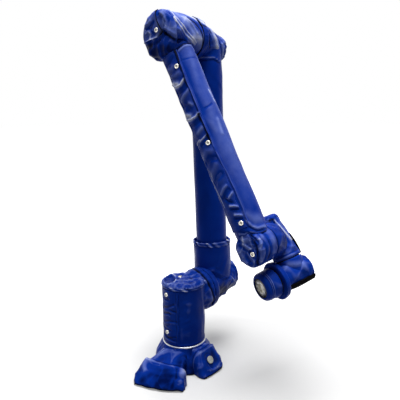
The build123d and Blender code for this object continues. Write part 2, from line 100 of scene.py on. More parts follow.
# Shader tools
def nodeGroup(name, inputs, outputs):
    # group with named sockets: an input without a value is a vector, and all else is a number
    group = bpy.data.node_groups.new(name, "ShaderNodeTree")
    for title, value in inputs.items():
        kind = "NodeSocketVector" if value is None else "NodeSocketFloat"
        socket = group.interface.new_socket(title, in_out="INPUT", socket_type=kind)
        if value is not None:
            socket.default_value = value
    for title in outputs:
        group.interface.new_socket(title, in_out="OUTPUT", socket_type="NodeSocketFloat")
    start = group.nodes.new("NodeGroupInput")
    end = group.nodes.new("NodeGroupOutput")
    return group, start.outputs, end.inputs


def wire(tree, source, target):
    if isinstance(source, (int, float, tuple)):
        target.default_value = source
    else:
        tree.links.new(source, target)


def math(tree, kind, a, b=0.0, clamp=False):
    node = tree.nodes.new("ShaderNodeMath")
    node.operation = kind
    node.use_clamp = clamp
    wire(tree, a, node.inputs[0])
    wire(tree, b, node.inputs[1])
    return node.outputs[0]


def noise(tree, where, scale, detail=3.0, rough=0.55):
    node = tree.nodes.new("ShaderNodeTexNoise")
    wire(tree, where, node.inputs["Vector"])
    wire(tree, scale, node.inputs["Scale"])
    node.inputs["Detail"].default_value = detail
    node.inputs["Roughness"].default_value = rough
    return node.outputs["Fac"]


def span(tree, value, low, high, toLow=0.0, toHigh=1.0):
    # value between low and high, spread over a new span and held at its ends
    node = tree.nodes.new("ShaderNodeMapRange")
    wire(tree, value, node.inputs[0])
    for socket, number in zip(list(node.inputs)[1:5], (low, high, toLow, toHigh)):
        wire(tree, number, socket)
    return node.outputs[0]


def tint(tree, share, one, two):
    node = tree.nodes.new("ShaderNodeMix")
    node.data_type = "RGBA"
    for number, source in zip((0, 6, 7), (share, one, two)):
        wire(tree, source, node.inputs[number])
    return node.outputs[2]


def vectorMath(tree, kind, a, b=None):
    node = tree.nodes.new("ShaderNodeVectorMath")
    node.operation = kind
    wire(tree, a, node.inputs[0])
    if b is not None:
        wire(tree, b, node.inputs[1])
    return node.outputs["Value" if kind in ("LENGTH", "DISTANCE") else "Vector"]


grainValues = {
    "pebble": 900.0, "weave": 260.0, "share": 0.4, "distortion": 1.2, "detail": 1.0, "speckle": (60.0, 4.0),
}
creaseValues = {
    "scale": 45.0, "middle": 0.5, "broken": 0.9, "ridge": (0.15, 1.85, 0.0, 2.0), "valley": (-0.15, -1.0),
    "pale": (1.2, 2.2),
}
dustValues = {
    "patch": 7.0, "amount": 0.5, "detail": 4.0, "broad": (0.42, 0.72), "fineNoise": (320.0, 2.0),
    "fine": (0.35, 0.75),
}
brushValues = {"scale": 300.0, "stretch": (0.06, 0.06, 1.0), "detail": 2.0}


def makeGrainGroup(user):
    # pebbled coating over a faint woven ground: cells and two crossed waves added as one height
    group, take, give = nodeGroup(
        "coatingGrain",
        {"Vector": None, "Pebble Scale": user["pebble"], "Weave Scale": user["weave"],
         "Weave Share": user["share"]},
        ("Height", "Speckle"))
    cells = group.nodes.new("ShaderNodeTexVoronoi")
    cells.feature = "SMOOTH_F1"
    wire(group, take["Vector"], cells.inputs["Vector"])
    wire(group, take["Pebble Scale"], cells.inputs["Scale"])
    waves = []
    for way in ("X", "Y"):
        wave = group.nodes.new("ShaderNodeTexWave")
        wave.bands_direction = way
        wire(group, user["distortion"], wave.inputs["Distortion"])
        wire(group, user["detail"], wave.inputs["Detail"])
        wire(group, take["Vector"], wave.inputs["Vector"])
        wire(group, take["Weave Scale"], wave.inputs["Scale"])
        waves.append(wave.outputs["Fac"])
    weave = math(group, "MULTIPLY", math(group, "MAXIMUM", *waves), take["Weave Share"])
    wire(group, math(group, "ADD", cells.outputs["Distance"], weave), give["Height"])
    wire(group, noise(group, take["Vector"], *user["speckle"]), give["Speckle"])
    return group


def makeCreaseGroup(user):
    # painted highlight on ridges and painted shade in valleys, from the piece's own fold tone, broken up by
    # noise
    group, take, give = nodeGroup(
        "creaseLightShade", {"Fold": 0.0, "Vector": None, "Noise Scale": user["scale"]},
        ("Ridge", "Valley", "Pale"))
    speck = math(group, "SUBTRACT", noise(group, take["Vector"], take["Noise Scale"]), user["middle"])
    spread = math(group, "MULTIPLY", speck, user["broken"])
    change = math(group, "MULTIPLY", spread, math(group, "ABSOLUTE", take["Fold"]))
    broken = math(group, "ADD", take["Fold"], change)
    for title in ("Ridge", "Valley", "Pale"):
        wire(group, span(group, broken, *user[title.lower()]), give[title])
    return group


def makeDustGroup(user):
    # thin patchy film: broad noise times fine noise
    group, take, give = nodeGroup(
        "dustFilm", {"Vector": None, "Patch Scale": user["patch"], "Amount": user["amount"]}, ("Mask",))
    broad = span(group, noise(group, take["Vector"], take["Patch Scale"], user["detail"]), *user["broad"])
    fine = span(group, noise(group, take["Vector"], *user["fineNoise"]), *user["fine"])
    film = math(group, "MULTIPLY", math(group, "MULTIPLY", broad, fine), take["Amount"])
    wire(group, film, give["Mask"])
    return group


def makeBrushGroup(user):
    # fine scratches: noise drawn out along one way
    group, take, give = nodeGroup("brushedLines", {"Vector": None, "Scale": user["scale"]}, ("Lines",))
    drawn = vectorMath(group, "MULTIPLY", take["Vector"], user["stretch"])
    wire(group, noise(group, drawn, take["Scale"], user["detail"]), give["Lines"])
    return group


grainGroup = makeGrainGroup(grainValues)
creaseGroup = makeCreaseGroup(creaseValues)
dustGroup = makeDustGroup(dustValues)
brushGroup = makeBrushGroup(brushValues)


def newLook(name):
    # material with its Principled shader and the object's own coordinates
    look = bpy.data.materials.new(name)
    look.use_nodes = True
    tree = look.node_tree
    shader = tree.nodes["Principled BSDF"]
    place = tree.nodes.new("ShaderNodeTexCoord").outputs["Object"]
    return look, tree, shader, place


def useGroup(tree, group, **values):
    node = tree.nodes.new("ShaderNodeGroup")
    node.node_tree = group
    for title, value in values.items():
        wire(tree, value, node.inputs[title.replace("_", " ")])
    return node.outputs


def bumpTo(tree, shader, height, strength, distance):
    node = tree.nodes.new("ShaderNodeBump")
    node.inputs["Strength"].default_value = strength
    node.inputs["Distance"].default_value = distance
    wire(tree, height, node.inputs["Height"])
    wire(tree, node.outputs["Normal"], shader.inputs["Normal"])


def readValue(tree, name):
    node = tree.nodes.new("ShaderNodeAttribute")
    node.attribute_name = name
    return node.outputs["Fac"]


def clothPlace(tree):
    node = tree.nodes.new("ShaderNodeUVMap")
    node.uv_map = "cloth"
    return node.outputs["UV"]


clothFinish = {
    "even": (0.3, 0.7), "patch": (9.0, 3.0), "spread": 0.12, "dustRough": 0.3, "bump": (0.22, 0.0006),
}
metalFinish = {"even": (0.3, 0.7), "wide": (0.25, 0.75), "spread": 0.15, "bump": (0.15, 0.0003)}
rubberFinish = {"even": (0.3, 0.7), "spread": 0.15, "bump": (0.3, 0.0005)}
turnedFinish = {
    "even": (0.35, 0.65), "wide": (0.3, 0.7), "stain": (90.0, 4.0), "spread": 0.2, "bump": (0.25, 0.0002),
}


def glossSpan(tree, value, ends, user, finish):
    # roughness from the look's gloss upwards, as a value runs between two ends
    return span(tree, value, *ends, user["gloss"], user["gloss"] + finish["spread"])


def dustMask(tree, place, user):
    return useGroup(tree, dustGroup, Vector=place, Amount=user["dust"])["Mask"]


def dustOver(tree, shader, place, colour, user):
    # base colour under a thin film of dust
    wire(tree, tint(tree, dustMask(tree, place, user), colour, user["film"]), shader.inputs["Base Color"])


def makeCoatedCloth(name, user, finish=clothFinish):
    look, tree, shader, place = newLook(name)
    grain = useGroup(tree, grainGroup, Vector=clothPlace(tree))
    crease = useGroup(tree, creaseGroup, Fold=readValue(tree, "fold"), Vector=place)
    dust = dustMask(tree, place, user)
    patch = span(tree, noise(tree, place, *finish["patch"]), *finish["even"])
    colour = tint(tree, patch, user["deep"], user["colour"])
    # painted shade: the cloth darkens towards the crease colour where the fold tone is low, in creases,
    # valleys, gaps and shadowed places
    colour = tint(tree, math(tree, "MULTIPLY", crease["Valley"], user["valley"]), colour, user["creaseShade"])
    # painted highlight: the cloth lightens towards the ridge colour where the fold tone is high, on ridges,
    # lit faces and drawn lines, and towards the pale colour on the brightest lines
    colour = tint(tree, math(tree, "MULTIPLY", crease["Ridge"], user["ridge"]), colour, user["worn"])
    colour = tint(tree, crease["Pale"], colour, user["pale"])
    colour = tint(tree, dust, colour, user["film"])
    # dark marks: a few black tabs, and painted shadow in gaps, under lifted edges and along the floor line
    colour = tint(tree, readValue(tree, "darkMark"), colour, user["darkMark"])
    wire(tree, colour, shader.inputs["Base Color"])
    gloss = glossSpan(tree, grain["Speckle"], finish["even"], user, finish)
    rough = math(tree, "ADD", gloss, math(tree, "MULTIPLY", dust, finish["dustRough"]))
    wire(tree, rough, shader.inputs["Roughness"])
    shader.inputs["Specular IOR Level"].default_value = user["specular"]
    shader.inputs["Specular Tint"].default_value = user["shine"]
    bumpTo(tree, shader, grain["Height"], *finish["bump"])
    return look


def makeMetal(name, user, finish=metalFinish):
    look, tree, shader, place = newLook(name)
    lines = useGroup(tree, brushGroup, Vector=place, Scale=user["lines"])["Lines"]
    colour = tint(tree, span(tree, lines, *finish["even"]), user["dark"], user["colour"])
    colour = tint(tree, readValue(tree, "darkMark"), colour, user["darkMark"])
    dustOver(tree, shader, place, colour, user)
    wire(tree, glossSpan(tree, lines, finish["wide"], user, finish), shader.inputs["Roughness"])
    shader.inputs["Metallic"].default_value = user["metallic"]
    bumpTo(tree, shader, lines, *finish["bump"])
    return look


def makeRubber(name, user, finish=rubberFinish):
    look, tree, shader, place = newLook(name)
    grain = useGroup(tree, grainGroup, Vector=place, Weave_Share=user["weave"])
    colour = tint(tree, span(tree, grain["Speckle"], *finish["even"]), user["dark"], user["colour"])
    dustOver(tree, shader, place, colour, user)
    wire(tree, glossSpan(tree, grain["Speckle"], finish["even"], user, finish), shader.inputs["Roughness"])
    shader.inputs["Specular IOR Level"].default_value = user["specular"]
    bumpTo(tree, shader, grain["Height"], *finish["bump"])
    return look


def makeMachined(name, user, axis, finish=turnedFinish):
    # turned face: rings about the tool's line from a wave of the distance to it
    look, tree, shader, place = newLook(name)
    offset = vectorMath(tree, "SUBTRACT", place, tuple(axis["o"] + axis["z"] * user["face"]))
    distance = vectorMath(tree, "LENGTH", vectorMath(tree, "CROSS_PRODUCT", offset, tuple(axis["z"])))
    rings = math(tree, "SINE", math(tree, "MULTIPLY", distance, user["rings"]))
    stain = noise(tree, place, *finish["stain"])
    colour = tint(tree, span(tree, stain, *finish["even"]), user["dark"], user["colour"])
    # painted shade: the face darkens towards its rim, under the sleeve's lip
    colour = tint(tree, span(tree, distance, *user["rim"]), colour, user["shade"])
    dustOver(tree, shader, place, colour, user)
    wire(tree, glossSpan(tree, stain, finish["wide"], user, finish), shader.inputs["Roughness"])
    shader.inputs["Metallic"].default_value = user["metallic"]
    bumpTo(tree, shader, rings, *finish["bump"])
    return look


# cloth colours: the crease colour is painted shade, the ridge and pale colours are painted highlights, and
# the near-black dark mark colour serves black tabs and painted shadow lines
jacketBlue = {
    "colour": (0.003, 0.036, 0.325, 1), "deep": (0.0014, 0.023, 0.250, 1),
    "creaseShade": (0.0004, 0.002, 0.032, 1), "worn": (0.21, 0.28, 0.66, 1), "pale": (0.56, 0.58, 0.70, 1),
    "film": (0.25, 0.28, 0.45, 1), "darkMark": (0.002, 0.002, 0.004, 1), "valley": 0.85, "ridge": 0.54,
    "dust": 0.03, "gloss": 0.27, "specular": 0.05, "shine": (0.14, 0.28, 1.0, 1),
}
tapeBlack = {
    "colour": (0.006, 0.006, 0.008, 1), "dark": (0.002, 0.002, 0.003, 1), "film": (0.08, 0.08, 0.08, 1),
    "dust": 0.02, "gloss": 0.6, "weave": 0.9, "specular": 0.01,
}
ringRubber = {
    "colour": (0.012, 0.013, 0.02, 1), "dark": (0.005, 0.005, 0.008, 1), "film": (0.2, 0.2, 0.22, 1),
    "dust": 0.05, "gloss": 0.5, "weave": 0.0, "specular": 0.08,
}
snapSteel = {
    "colour": (0.78, 0.76, 0.70, 1), "dark": (0.52, 0.50, 0.44, 1), "film": (0.35, 0.34, 0.30, 1),
    "darkMark": (0.05, 0.045, 0.03, 1), "lines": 500.0, "dust": 0.15, "gloss": 0.2, "metallic": 1.0,
}
ringBright = {
    "colour": (0.80, 0.81, 0.84, 1), "dark": (0.62, 0.63, 0.66, 1), "film": (0.5, 0.5, 0.5, 1),
    "darkMark": (0.03, 0.03, 0.035, 1), "lines": 260.0, "dust": 0.2, "gloss": 0.28, "metallic": 0.9,
}
portGrey = {
    "colour": (0.44, 0.45, 0.42, 1), "dark": (0.30, 0.31, 0.29, 1), "film": (0.3, 0.3, 0.28, 1),
    "darkMark": (0.03, 0.03, 0.035, 1), "lines": 300.0, "dust": 0.5, "gloss": 0.4, "metallic": 0.55,
}
castingPaint = {
    "colour": (0.50, 0.52, 0.55, 1), "dark": (0.42, 0.44, 0.47, 1), "film": (0.6, 0.6, 0.58, 1),
    "darkMark": (0.03, 0.03, 0.035, 1), "lines": 120.0, "dust": 0.4, "gloss": 0.42, "metallic": 0.15,
}
flangeMetal = {
    "colour": (0.74, 0.73, 0.68, 1), "dark": (0.30, 0.29, 0.25, 1), "film": (0.25, 0.24, 0.2, 1),
    "shade": (0.02, 0.02, 0.019, 1), "rim": (0.019, 0.028), "face": 0.131, "rings": 4200.0, "dust": 0.3,
    "gloss": 0.3, "metallic": 0.85,
}
looks = {
    "jacket": makeCoatedCloth("jacketBlue", jacketBlue),
    "edge_tape": makeRubber("tapeBlack", tapeBlack),
    "joint_ring": makeRubber("ringRubber", ringRubber),
    "snap_metal": makeMetal("snapSteel", snapSteel),
    "bright_metal": makeMetal("ringBright", ringBright),
    "base_metal": makeMetal("castingPaint", castingPaint),
    "flange_metal": makeMachined("flangeMetal", flangeMetal, toolAxis),
}
portLook = makeMetal("portGrey", portGrey)
print("looks made:", len(looks) + 1)


# Surface tools
def bell(value, middle, width):
    return np.exp(-((value - middle) / width) ** 2)


def smooth(value, low, high):
    t = np.clip((value - low) / (high - low), 0, 1)
    return t * t * (3 - 2 * t)


def shaded(*tones):
    # painted light and shade tones added up and held to the span that the material reads
    return np.clip(sum(tones), -1, 2)


def roundWay(axis, angle):
    # way out from an axis at each angle
    turn = np.asarray(angle)[..., None]
    return np.cos(turn) * axis["x"] + np.sin(turn) * axis["y"]


def runAlong(spots):
    # distance from the first spot to each one, along straight runs
    return np.concatenate([[0], np.cumsum(np.linalg.norm(np.diff(spots, axis=0), axis=1))])


def evenLine(spots, count):
    # spots spaced evenly along a line of straight runs, and how far along it each lies
    run = runAlong(spots)
    even = np.linspace(0, run[-1], count)
    return np.stack([np.interp(even, run, column) for column in spots.T], axis=1), even


def roundedLine(corners, count):
    # line through corners of (radius, height, rounding) in mm; each rounding is a quadratic curve between
    # its two tangents, and the whole is sampled evenly along its length
    corner = np.array(corners, float) * mm
    spots = [corner[0, :2]]
    share = np.linspace(0, 1, curveSteps)[:, None]
    for before, here, after in zip(corner[:-2], corner[1:-1], corner[2:]):
        start = here[:2] + unit(before[:2] - here[:2]) * here[2]
        end = here[:2] + unit(after[:2] - here[:2]) * here[2]
        curve = start * (1 - share) ** 2 + here[:2] * 2 * share * (1 - share) + end * share ** 2
        spots.extend(curve if here[2] else [here[:2]])
    spots.append(corner[-1, :2])
    return evenLine(np.array(spots), count)


def turnedCover(axis, user):
    # ring grid: the rounded line turned about the axis, with the line's own normal at each row
    around, along = user["grid"]
    line, arc = roundedLine(user["corners"], along)
    slope = np.gradient(line, axis=0)
    slope /= np.maximum(np.linalg.norm(slope, axis=1, keepdims=True), tiny)
    angle = np.linspace(0, full, around, endpoint=False)
    grid = np.ones((along, around))
    return {
        "axis": axis, "angle": grid * angle, "radius": grid * line[:, :1], "height": grid * line[:, 1:],
        "arc": grid * arc[:, None], "out": grid * slope[:, 1:], "up": grid * -slope[:, :1],
        "girth": max(line[:, 0]),
    }


def facePlaces(cover):
    # places on a cover seen along its axis
    return cover["radius"] * np.cos(cover["angle"]), cover["radius"] * np.sin(cover["angle"])


def settle(cover, lift=0.0, shift=None):
    # grid point = axis + (radius + lift out) round it + (height + lift up) along it + a free shift
    axis = cover["axis"]
    radius = (cover["radius"] + lift * cover["out"])[..., None]
    height = (cover["height"] + lift * cover["up"])[..., None]
    points = axis["o"] + radius * roundWay(axis, cover["angle"]) + height * axis["z"]
    return points if shift is None else points + shift


def shortWay(gap, ring):
    # a gap round a ring is taken the short way
    return (gap + ring / 2) % ring - ring / 2 if ring else gap


trough = {"deep": 0.45, "away": 1.9, "wide": 1.3}
slowWaves = {"count": 14, "least": 0.6, "more": 0.8}
crumpled = {
    "fine": 0.55, "level": 0.8, "fineRise": 0.45, "line": 0.16, "fineLine": 0.5, "hollow": 0.7,
    "deep": (0.9, 1.7),
}


def foldLift(across, along, folds, ring=None):
    # sum of ridges in mm: bell along the fold's own way, bell across it, and a shallow trough beside it;
    # a fold is (across, along, turn in degrees, length, width, rise)
    lift = np.zeros_like(across)
    for x, y, turn, length, width, rise in np.array(folds, float).reshape(-1, 6):
        dx = shortWay(across - x * mm, ring)
        dy = along - y * mm
        c, s = np.cos(np.radians(turn)), np.sin(np.radians(turn))
        p = (dx * c + dy * s) / (length * mm)
        q = (dy * c - dx * s) / (width * mm)
        beside = trough["deep"] * bell(q, trough["away"], trough["wide"])
        lift += rise * mm * bell(p, 0, 1) * (bell(q, 0, 1) - beside)
    return lift


def looseFolds(seed, count, *spans):
    # seeded random folds, each value drawn evenly from its span
    ends = np.array(spans, float)
    draw = np.random.default_rng(seed).random((count, len(spans)))
    return ends[:, 0] + draw * (ends[:, 1] - ends[:, 0])


def gathers(angle, seed, count, keen=3):
    # gathered edge: a few waves round it, within a quarter of one count, each with a random phase
    rng = np.random.default_rng(seed)
    waves = count + rng.integers(-count // 4, count // 4 + 1, keen)
    phases = rng.random(keen) * full
    return sum(np.sin(wave * angle + phase) for wave, phase in zip(waves, phases)) / keen


def slowNoise(points, seed, length):
    # soft unevenness: a sum of long random waves through space
    count = slowWaves["count"]
    rng = np.random.default_rng(seed)
    ways = rng.normal(size=(count, 3))
    ways /= np.linalg.norm(ways, axis=1, keepdims=True)
    waves = full / (length * mm) * (slowWaves["least"] + slowWaves["more"] * rng.random(count))
    phases = rng.random(count) * full
    total = np.zeros(points.shape[:-1])
    for way, wave, phase in zip(ways, waves, phases):
        total += np.sin(wave * (points @ way) + phase)
    return total / np.sqrt(count / 2)


def crumple(points, seed, length, user=crumpled):
    # crumpled cloth: slow noise folded at its zero line, which leaves sharp ridges between flat faces;
    # the ridge lines come back as a tone, a painted highlight on the coarse ones and painted shade in the
    # hollows
    coarse = slowNoise(points, seed, length)
    fine = slowNoise(points, seed + 1, user["fine"] * length)
    height = user["level"] - np.abs(coarse) + user["fineRise"] * (user["level"] - np.abs(fine))
    lines = bell(coarse, 0, user["line"]) + user["fineLine"] * bell(fine, 0, user["line"])
    return height, lines - user["hollow"] * smooth(np.abs(coarse), *user["deep"])


def routeGap(across, along, route, ring=None):
    # distance to a route of straight runs
    gap = np.full_like(across, 1.0)
    for (x0, y0), (x1, y1) in zip(route[:-1], route[1:]):
        dx = shortWay(across - x0, ring)
        dy = along - y0
        rx, ry = x1 - x0, y1 - y0
        t = np.clip((dx * rx + dy * ry) / (rx * rx + ry * ry), 0, 1)
        gap = np.minimum(gap, np.hypot(dx - t * rx, dy - t * ry))
    return gap


def drawnLines(across, along, lines, girth=None):
    # seams, piping and fold lips: each line is (width, rise, shade, black, route), a bell across its route;
    # shade above zero paints a highlight and below zero paints shade, and black paints black tabs and painted
    # shadow in gaps and under lifted edges; with a girth, routes are (degrees, along) on a round cover, else
    # plain places
    lift, shade, black = (np.zeros_like(across) for _ in range(3))
    ring = full * girth * mm if girth else None
    for width, rise, tone, dark, route in lines:
        places = np.array(route, float)
        if girth:
            places[:, 0] *= np.pi / 180 * girth
        near = bell(routeGap(across, along, places * mm, ring), 0, width * mm)
        lift += rise * mm * near
        shade += tone * near
        black = np.maximum(black, dark * near)
    return lift, shade, black


def coverLines(cover, user):
    # lines drawn on a turned cover
    across = cover["angle"] * user["girth"] * mm
    return drawnLines(across, cover["height"], user.get("lines", ()), user["girth"])


def gridFaces(rows, cols, first=0, wrapRows=False, wrapCols=False):
    # corner numbers of each four-sided face of a grid
    r = np.arange(rows if wrapRows else rows - 1)[:, None]
    c = np.arange(cols if wrapCols else cols - 1)[None, :]
    r2 = (r + 1) % rows
    c2 = (c + 1) % cols
    corner = np.stack([r * cols + c, r * cols + c2, r2 * cols + c2, r2 * cols + c], axis=-1)
    return corner.reshape(-1, 4) + first


def addMesh(name, points, quads, triangles, cloth, fold, darkMark):
    # whole arrays into a mesh: places, corners, cloth map in metres, fold tone (painted shade and highlight)
    # and dark marks
    mesh = bpy.data.meshes.new(name)
    mesh.vertices.add(len(points))
    mesh.vertices.foreach_set("co", np.ascontiguousarray(points, np.float32).ravel())
    corners = np.concatenate([quads.ravel(), triangles.ravel()]).astype(np.int32)
    starts = np.concatenate([
        np.arange(len(quads)) * 4,
        len(quads) * 4 + np.arange(len(triangles)) * 3]).astype(np.int32)
    mesh.loops.add(len(corners))
    mesh.loops.foreach_set("vertex_index", corners)
    mesh.polygons.add(len(starts))
    mesh.polygons.foreach_set("loop_start", starts)
    mesh.update(calc_edges=True)
    uv = mesh.uv_layers.new(name="cloth")
    uv.data.foreach_set("uv", np.ascontiguousarray(cloth[corners], np.float32).ravel())
    for title, values in (("fold", fold), ("darkMark", darkMark)):
        layer = mesh.attributes.new(title, "FLOAT", "POINT")
        layer.data.foreach_set("value", np.ascontiguousarray(values, np.float32))
    mesh.validate()
    mesh.shade_smooth()
    return mesh


triangleCount = 0
noTriangles = np.zeros((0, 3), int)


def addPiece(name, body, nodes, slot, *layers):
    # mesh of one piece, with its finish, the body that it rides on and the nodes that it replaces
    global triangleCount
    mesh = addMesh(name, *layers)
    piece = bpy.data.objects.new(name, mesh)
    bpy.context.scene.collection.objects.link(piece)
    mesh.materials.append(looks[slot])
    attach(piece, body)
    if nodes:
        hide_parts(*nodes)
    triangleCount += sum(len(p.vertices) - 2 for p in mesh.polygons)


def poledGrid(points, first=0):
    # rings joined round, with a pole at each end: places, four-sided faces and the poles' triangles
    rows, cols = points.shape[:2]
    ring = np.arange(cols)
    after = (ring + 1) % cols
    foot = rows * cols
    top = foot - cols
    low = np.stack([after, ring, np.full(cols, foot)], axis=1)
    high = np.stack([top + ring, top + after, np.full(cols, foot + 1)], axis=1)
    spots = np.vstack([points.reshape(-1, 3), points[0].mean(axis=0), points[-1].mean(axis=0)])
    return spots, gridFaces(rows, cols, first, wrapCols=True), np.vstack([low, high]) + first


def clothMap(cover):
    return np.stack([cover["angle"] * cover["girth"], cover["arc"]], axis=-1)


def addCover(node, body, cover, points, fold, darkMark=None):
    # closed cover: rings joined round, with a pole at each end on the axis
    spots, quads, triangles = poledGrid(points)
    darkMark = np.zeros_like(fold) if darkMark is None else darkMark
    cloth = np.vstack([clothMap(cover).reshape(-1, 2), [0, 0], [0, cover["arc"].max()]])
    poled = [np.concatenate([layer.ravel(), [0, 0]]) for layer in (fold, darkMark)]
    addPiece(node + "_cloth", body, [node], "jacket", spots, quads, triangles, cloth, *poled)


def addHoop(node, body, points, cloth, fold, darkMark):
    # closed hoop: a loop of rows carried round, joined both ways
    rows, cols = points.shape[:2]
    quads = gridFaces(rows, cols, wrapRows=True, wrapCols=True)
    addPiece(node + "_cloth", body, [node], "jacket", points.reshape(-1, 3), quads, noTriangles,
             cloth.reshape(-1, 2), fold.ravel(), darkMark.ravel())


def addSlab(name, body, nodes, slot, outer, inner, *layers, flip=False):
    # closed slab: an outer grid, an inner grid turned over, and a wall round their border;
    # flip turns over a grid whose columns run the other way
    if flip:
        outer, inner, *layers = (layer[:, ::-1] for layer in (outer, inner, *layers))
    rows, cols = outer.shape[:2]
    count = rows * cols
    under = gridFaces(rows, cols, first=count)[:, ::-1]
    number = np.arange(count).reshape(rows, cols)
    border = np.concatenate([number[0, :-1], number[:-1, -1], number[-1, :0:-1], number[:0:-1, 0]])
    after = np.roll(border, -1)
    wall = np.stack([after, border, border + count, after + count], axis=1)
    spots = np.vstack([outer.reshape(-1, 3), inner.reshape(-1, 3)])
    doubled = [np.concatenate([layer.reshape(count, -1)] * 2).squeeze() for layer in layers]
    quads = np.vstack([gridFaces(rows, cols), under, wall])
    addPiece(name, body, nodes, slot, spots, quads, noTriangles, *doubled)


foldHeight = 6.0


def foldShade(lift, scale=foldHeight):
    # fold height as a tone from -1 to 1, which the material paints as shade below zero and highlight above
    return np.clip(lift / (scale * mm), -1, 1)


poleCalm = (0.1, 0.8)
poleFade = (0, 0.35)


def puckers(cover, user):
    # a cover's folds from its dictionary: listed ones, loose ones, soft unevenness and crumples
    girth = user["girth"]
    ring = full * girth * mm
    across = cover["angle"] * girth * mm
    lift = np.zeros_like(across)
    tone = np.zeros_like(across)
    if "folds" in user:
        table = np.array(user["folds"], float)
        table[:, 0] *= np.pi / 180 * girth
        lift += foldLift(across, cover["height"], table, ring)
    for seed, count, angles, *spans in user.get("loose", ()):
        folds = looseFolds(seed, count, np.radians(angles) * girth, *spans)
        lift += foldLift(across, cover["height"], folds, ring)
    # folds fade towards the axis, so that none meet in a star at a pole
    lift *= smooth(cover["radius"] / cover["girth"], *user.get("calm", poleCalm))
    still = settle(cover)
    seed, length, rise = user["uneven"]
    lift += rise * mm * slowNoise(still, seed, length)
    if "crumple" in user:
        seed, length, rise, shade = user["crumple"]
        height, lines = crumple(still, seed, length)
        lift += rise * mm * height
        tone += shade * lines
    return lift, tone


def plainCover(node, body, axis, user, shift=None):
    # turned cover with its own folds, which fade towards the axis; shift moves points in the frame
    cover = turnedCover(axis, user)
    drawn, tone, black = coverLines(cover, user)
    loose, creases = puckers(cover, user)
    near, far = user.get("fade", poleFade)
    lift = (loose + drawn) * smooth(cover["radius"], near * mm, far * cover["girth"])
    points = settle(cover, lift, None if shift is None else shift(cover))
    # fold tone: painted shade and highlight from the folds, crumples and drawn lines, plus the piece's own
    # tone, which paints the whole piece lighter or darker
    fold = shaded(foldShade(loose), creases, tone, user.get("tone", 0.0))
    addCover(node, body, cover, points, fold, black)


def dropped(amount):
    # shift straight down by an amount in metres for each grid point
    return amount[..., None] * -wayZ


# Base: skirt and boots, the side boot level under the port
skirt = {
    "corners": [
        (70, 83, 0), (79.3, 83.4, 1.5), (88, 66, 8), (104, 44, 12), (111, 16, 6), (112.5, 2.5, 1.5),
        (100, 2, 0)],
    "grid": (168, 68), "girth": 104,
    "folds": [
        (150, 60, 80, 30, 7, 2.5), (120, 50, 95, 26, 8, 2.5), (60, 52, 85, 28, 8, 3),
        (10, 50, 95, 30, 8, 2.5), (325, 52, 88, 28, 7, 2.5), (90, 22, 90, 18, 7, 2.5),
        (30, 22, 85, 18, 7, 2)],
    "loose": [(5, 26, (0, 360), (10, 75), (60, 120), (14, 34), (4, 9), (0.6, 1.8))], "uneven": (6, 90, 0.8),
    "crumple": (7, 60, 0.8, 0.25), "gap": (236, 14, 0.9), "hem": (60, 10), "wave": (2.2, 8, 11),
    "clear": 0.5, "shadowEdge": (4, 3, 108),
}


def makeSkirt(user):
    # flared skirt: a line from under the ring to the floor, turned about the base, waving more at its hem;
    # painted shade darkens it between the boots, and painted shadow runs round its outer edge above the floor
    cover = turnedCover(baseAxis, user)
    start, end = np.array(user["hem"]) * mm
    loose, creases = puckers(cover, user)
    rise, seed, count = user["wave"]
    lift = loose + rise * mm * smooth(cover["height"], start, end) * gathers(cover["angle"], seed, count)
    # painted shade in the gap between the two boots
    gap, wide, dark = user["gap"]
    creases -= dark * bell(np.degrees(cover["angle"]), gap, wide)
    points = settle(cover, lift)
    points[..., 2] = np.maximum(points[..., 2], user["clear"] * mm)
    # painted shadow: black round the outer flare just above the floor
    at, width, outside = np.array(user["shadowEdge"]) * mm
    darkMark = bell(cover["height"], at, width) * (cover["radius"] > outside)
    addCover("base_skirt", "base", cover, points, shaded(foldShade(lift), creases), darkMark)


frontBoot = {
    "turn": 194.5, "skew": 10, "bend": 1.8, "grid": (130, 98), "wall": 2.6,
    "sections": [
        (62, 104, 78, 36, 0), (100, 120, 71, 36, -2), (147, 146, 59, 30, -4), (151, 160, 60, 32, -5),
        (172, 174, 48, 26, -5), (192, 180, 31, 18, -3), (206, 176, 14, 9, 0), (214, 168, 3, 2.5, 4)],
    "seam": 2, "step": 3.6,
    "folds": [
        (40, 90, 110, 26, 9, -3), (-66, 176, 40, 26, 7, 3), (-46, 200, 150, 22, 7, -2.5),
        (-74, 150, 90, 24, 7, 3), (72, 165, 80, 26, 8, 3), (52, 196, 100, 20, 8, 2.0),
        (5, 206, 90, 10, 7, -3)],
    "lines": [
        (2.0, 1.6, 0.9, 0, [(-40, 80), (-52, 110), (-60, 138)]),
        (1.6, -1.0, -0.8, 0, [(-35, 82), (-47, 110), (-55, 138)]),
        (3.0, 2.0, 0.0, 1, [(-82, 142), (-74, 144)]),
        (5.0, 0.5, 0.1, 0, [(-76, 176), (-46, 180), (0, 178), (40, 172), (80, 178)]),
        (5.0, -0.7, -0.2, 0, [(-76, 185), (-46, 189), (0, 187), (40, 181), (80, 187)]),
        (16.0, 0.0, 0.7, 0, [(-30, 90), (-44, 116), (-50, 136)]),
        (18.0, 0.0, -0.9, 0, [(52, 80), (54, 110), (52, 138)]), (10.0, 2.0, 0.7, 0, [(70, 160), (76, 190)]),
        (12.0, 0.0, 0.6, 0, [(-70, 158), (-62, 180)]), (22.0, 0.0, -0.5, 0, [(10, 172), (10, 206)]),
        (4.0, -1.5, -0.4, 0, [(52, 160), (58, 184), (54, 206)]),
        (4.0, 0.0, -0.4, 0.8, [(-28, 213), (-18, 214)]), (4.0, 0.0, -0.4, 0.8, [(18, 214), (40, 213)])],
    "seed": 21, "loose": 12, "lifted": [(-4, 14, 2.5), (72, 10, 2), (-48, 10, 2)],
}
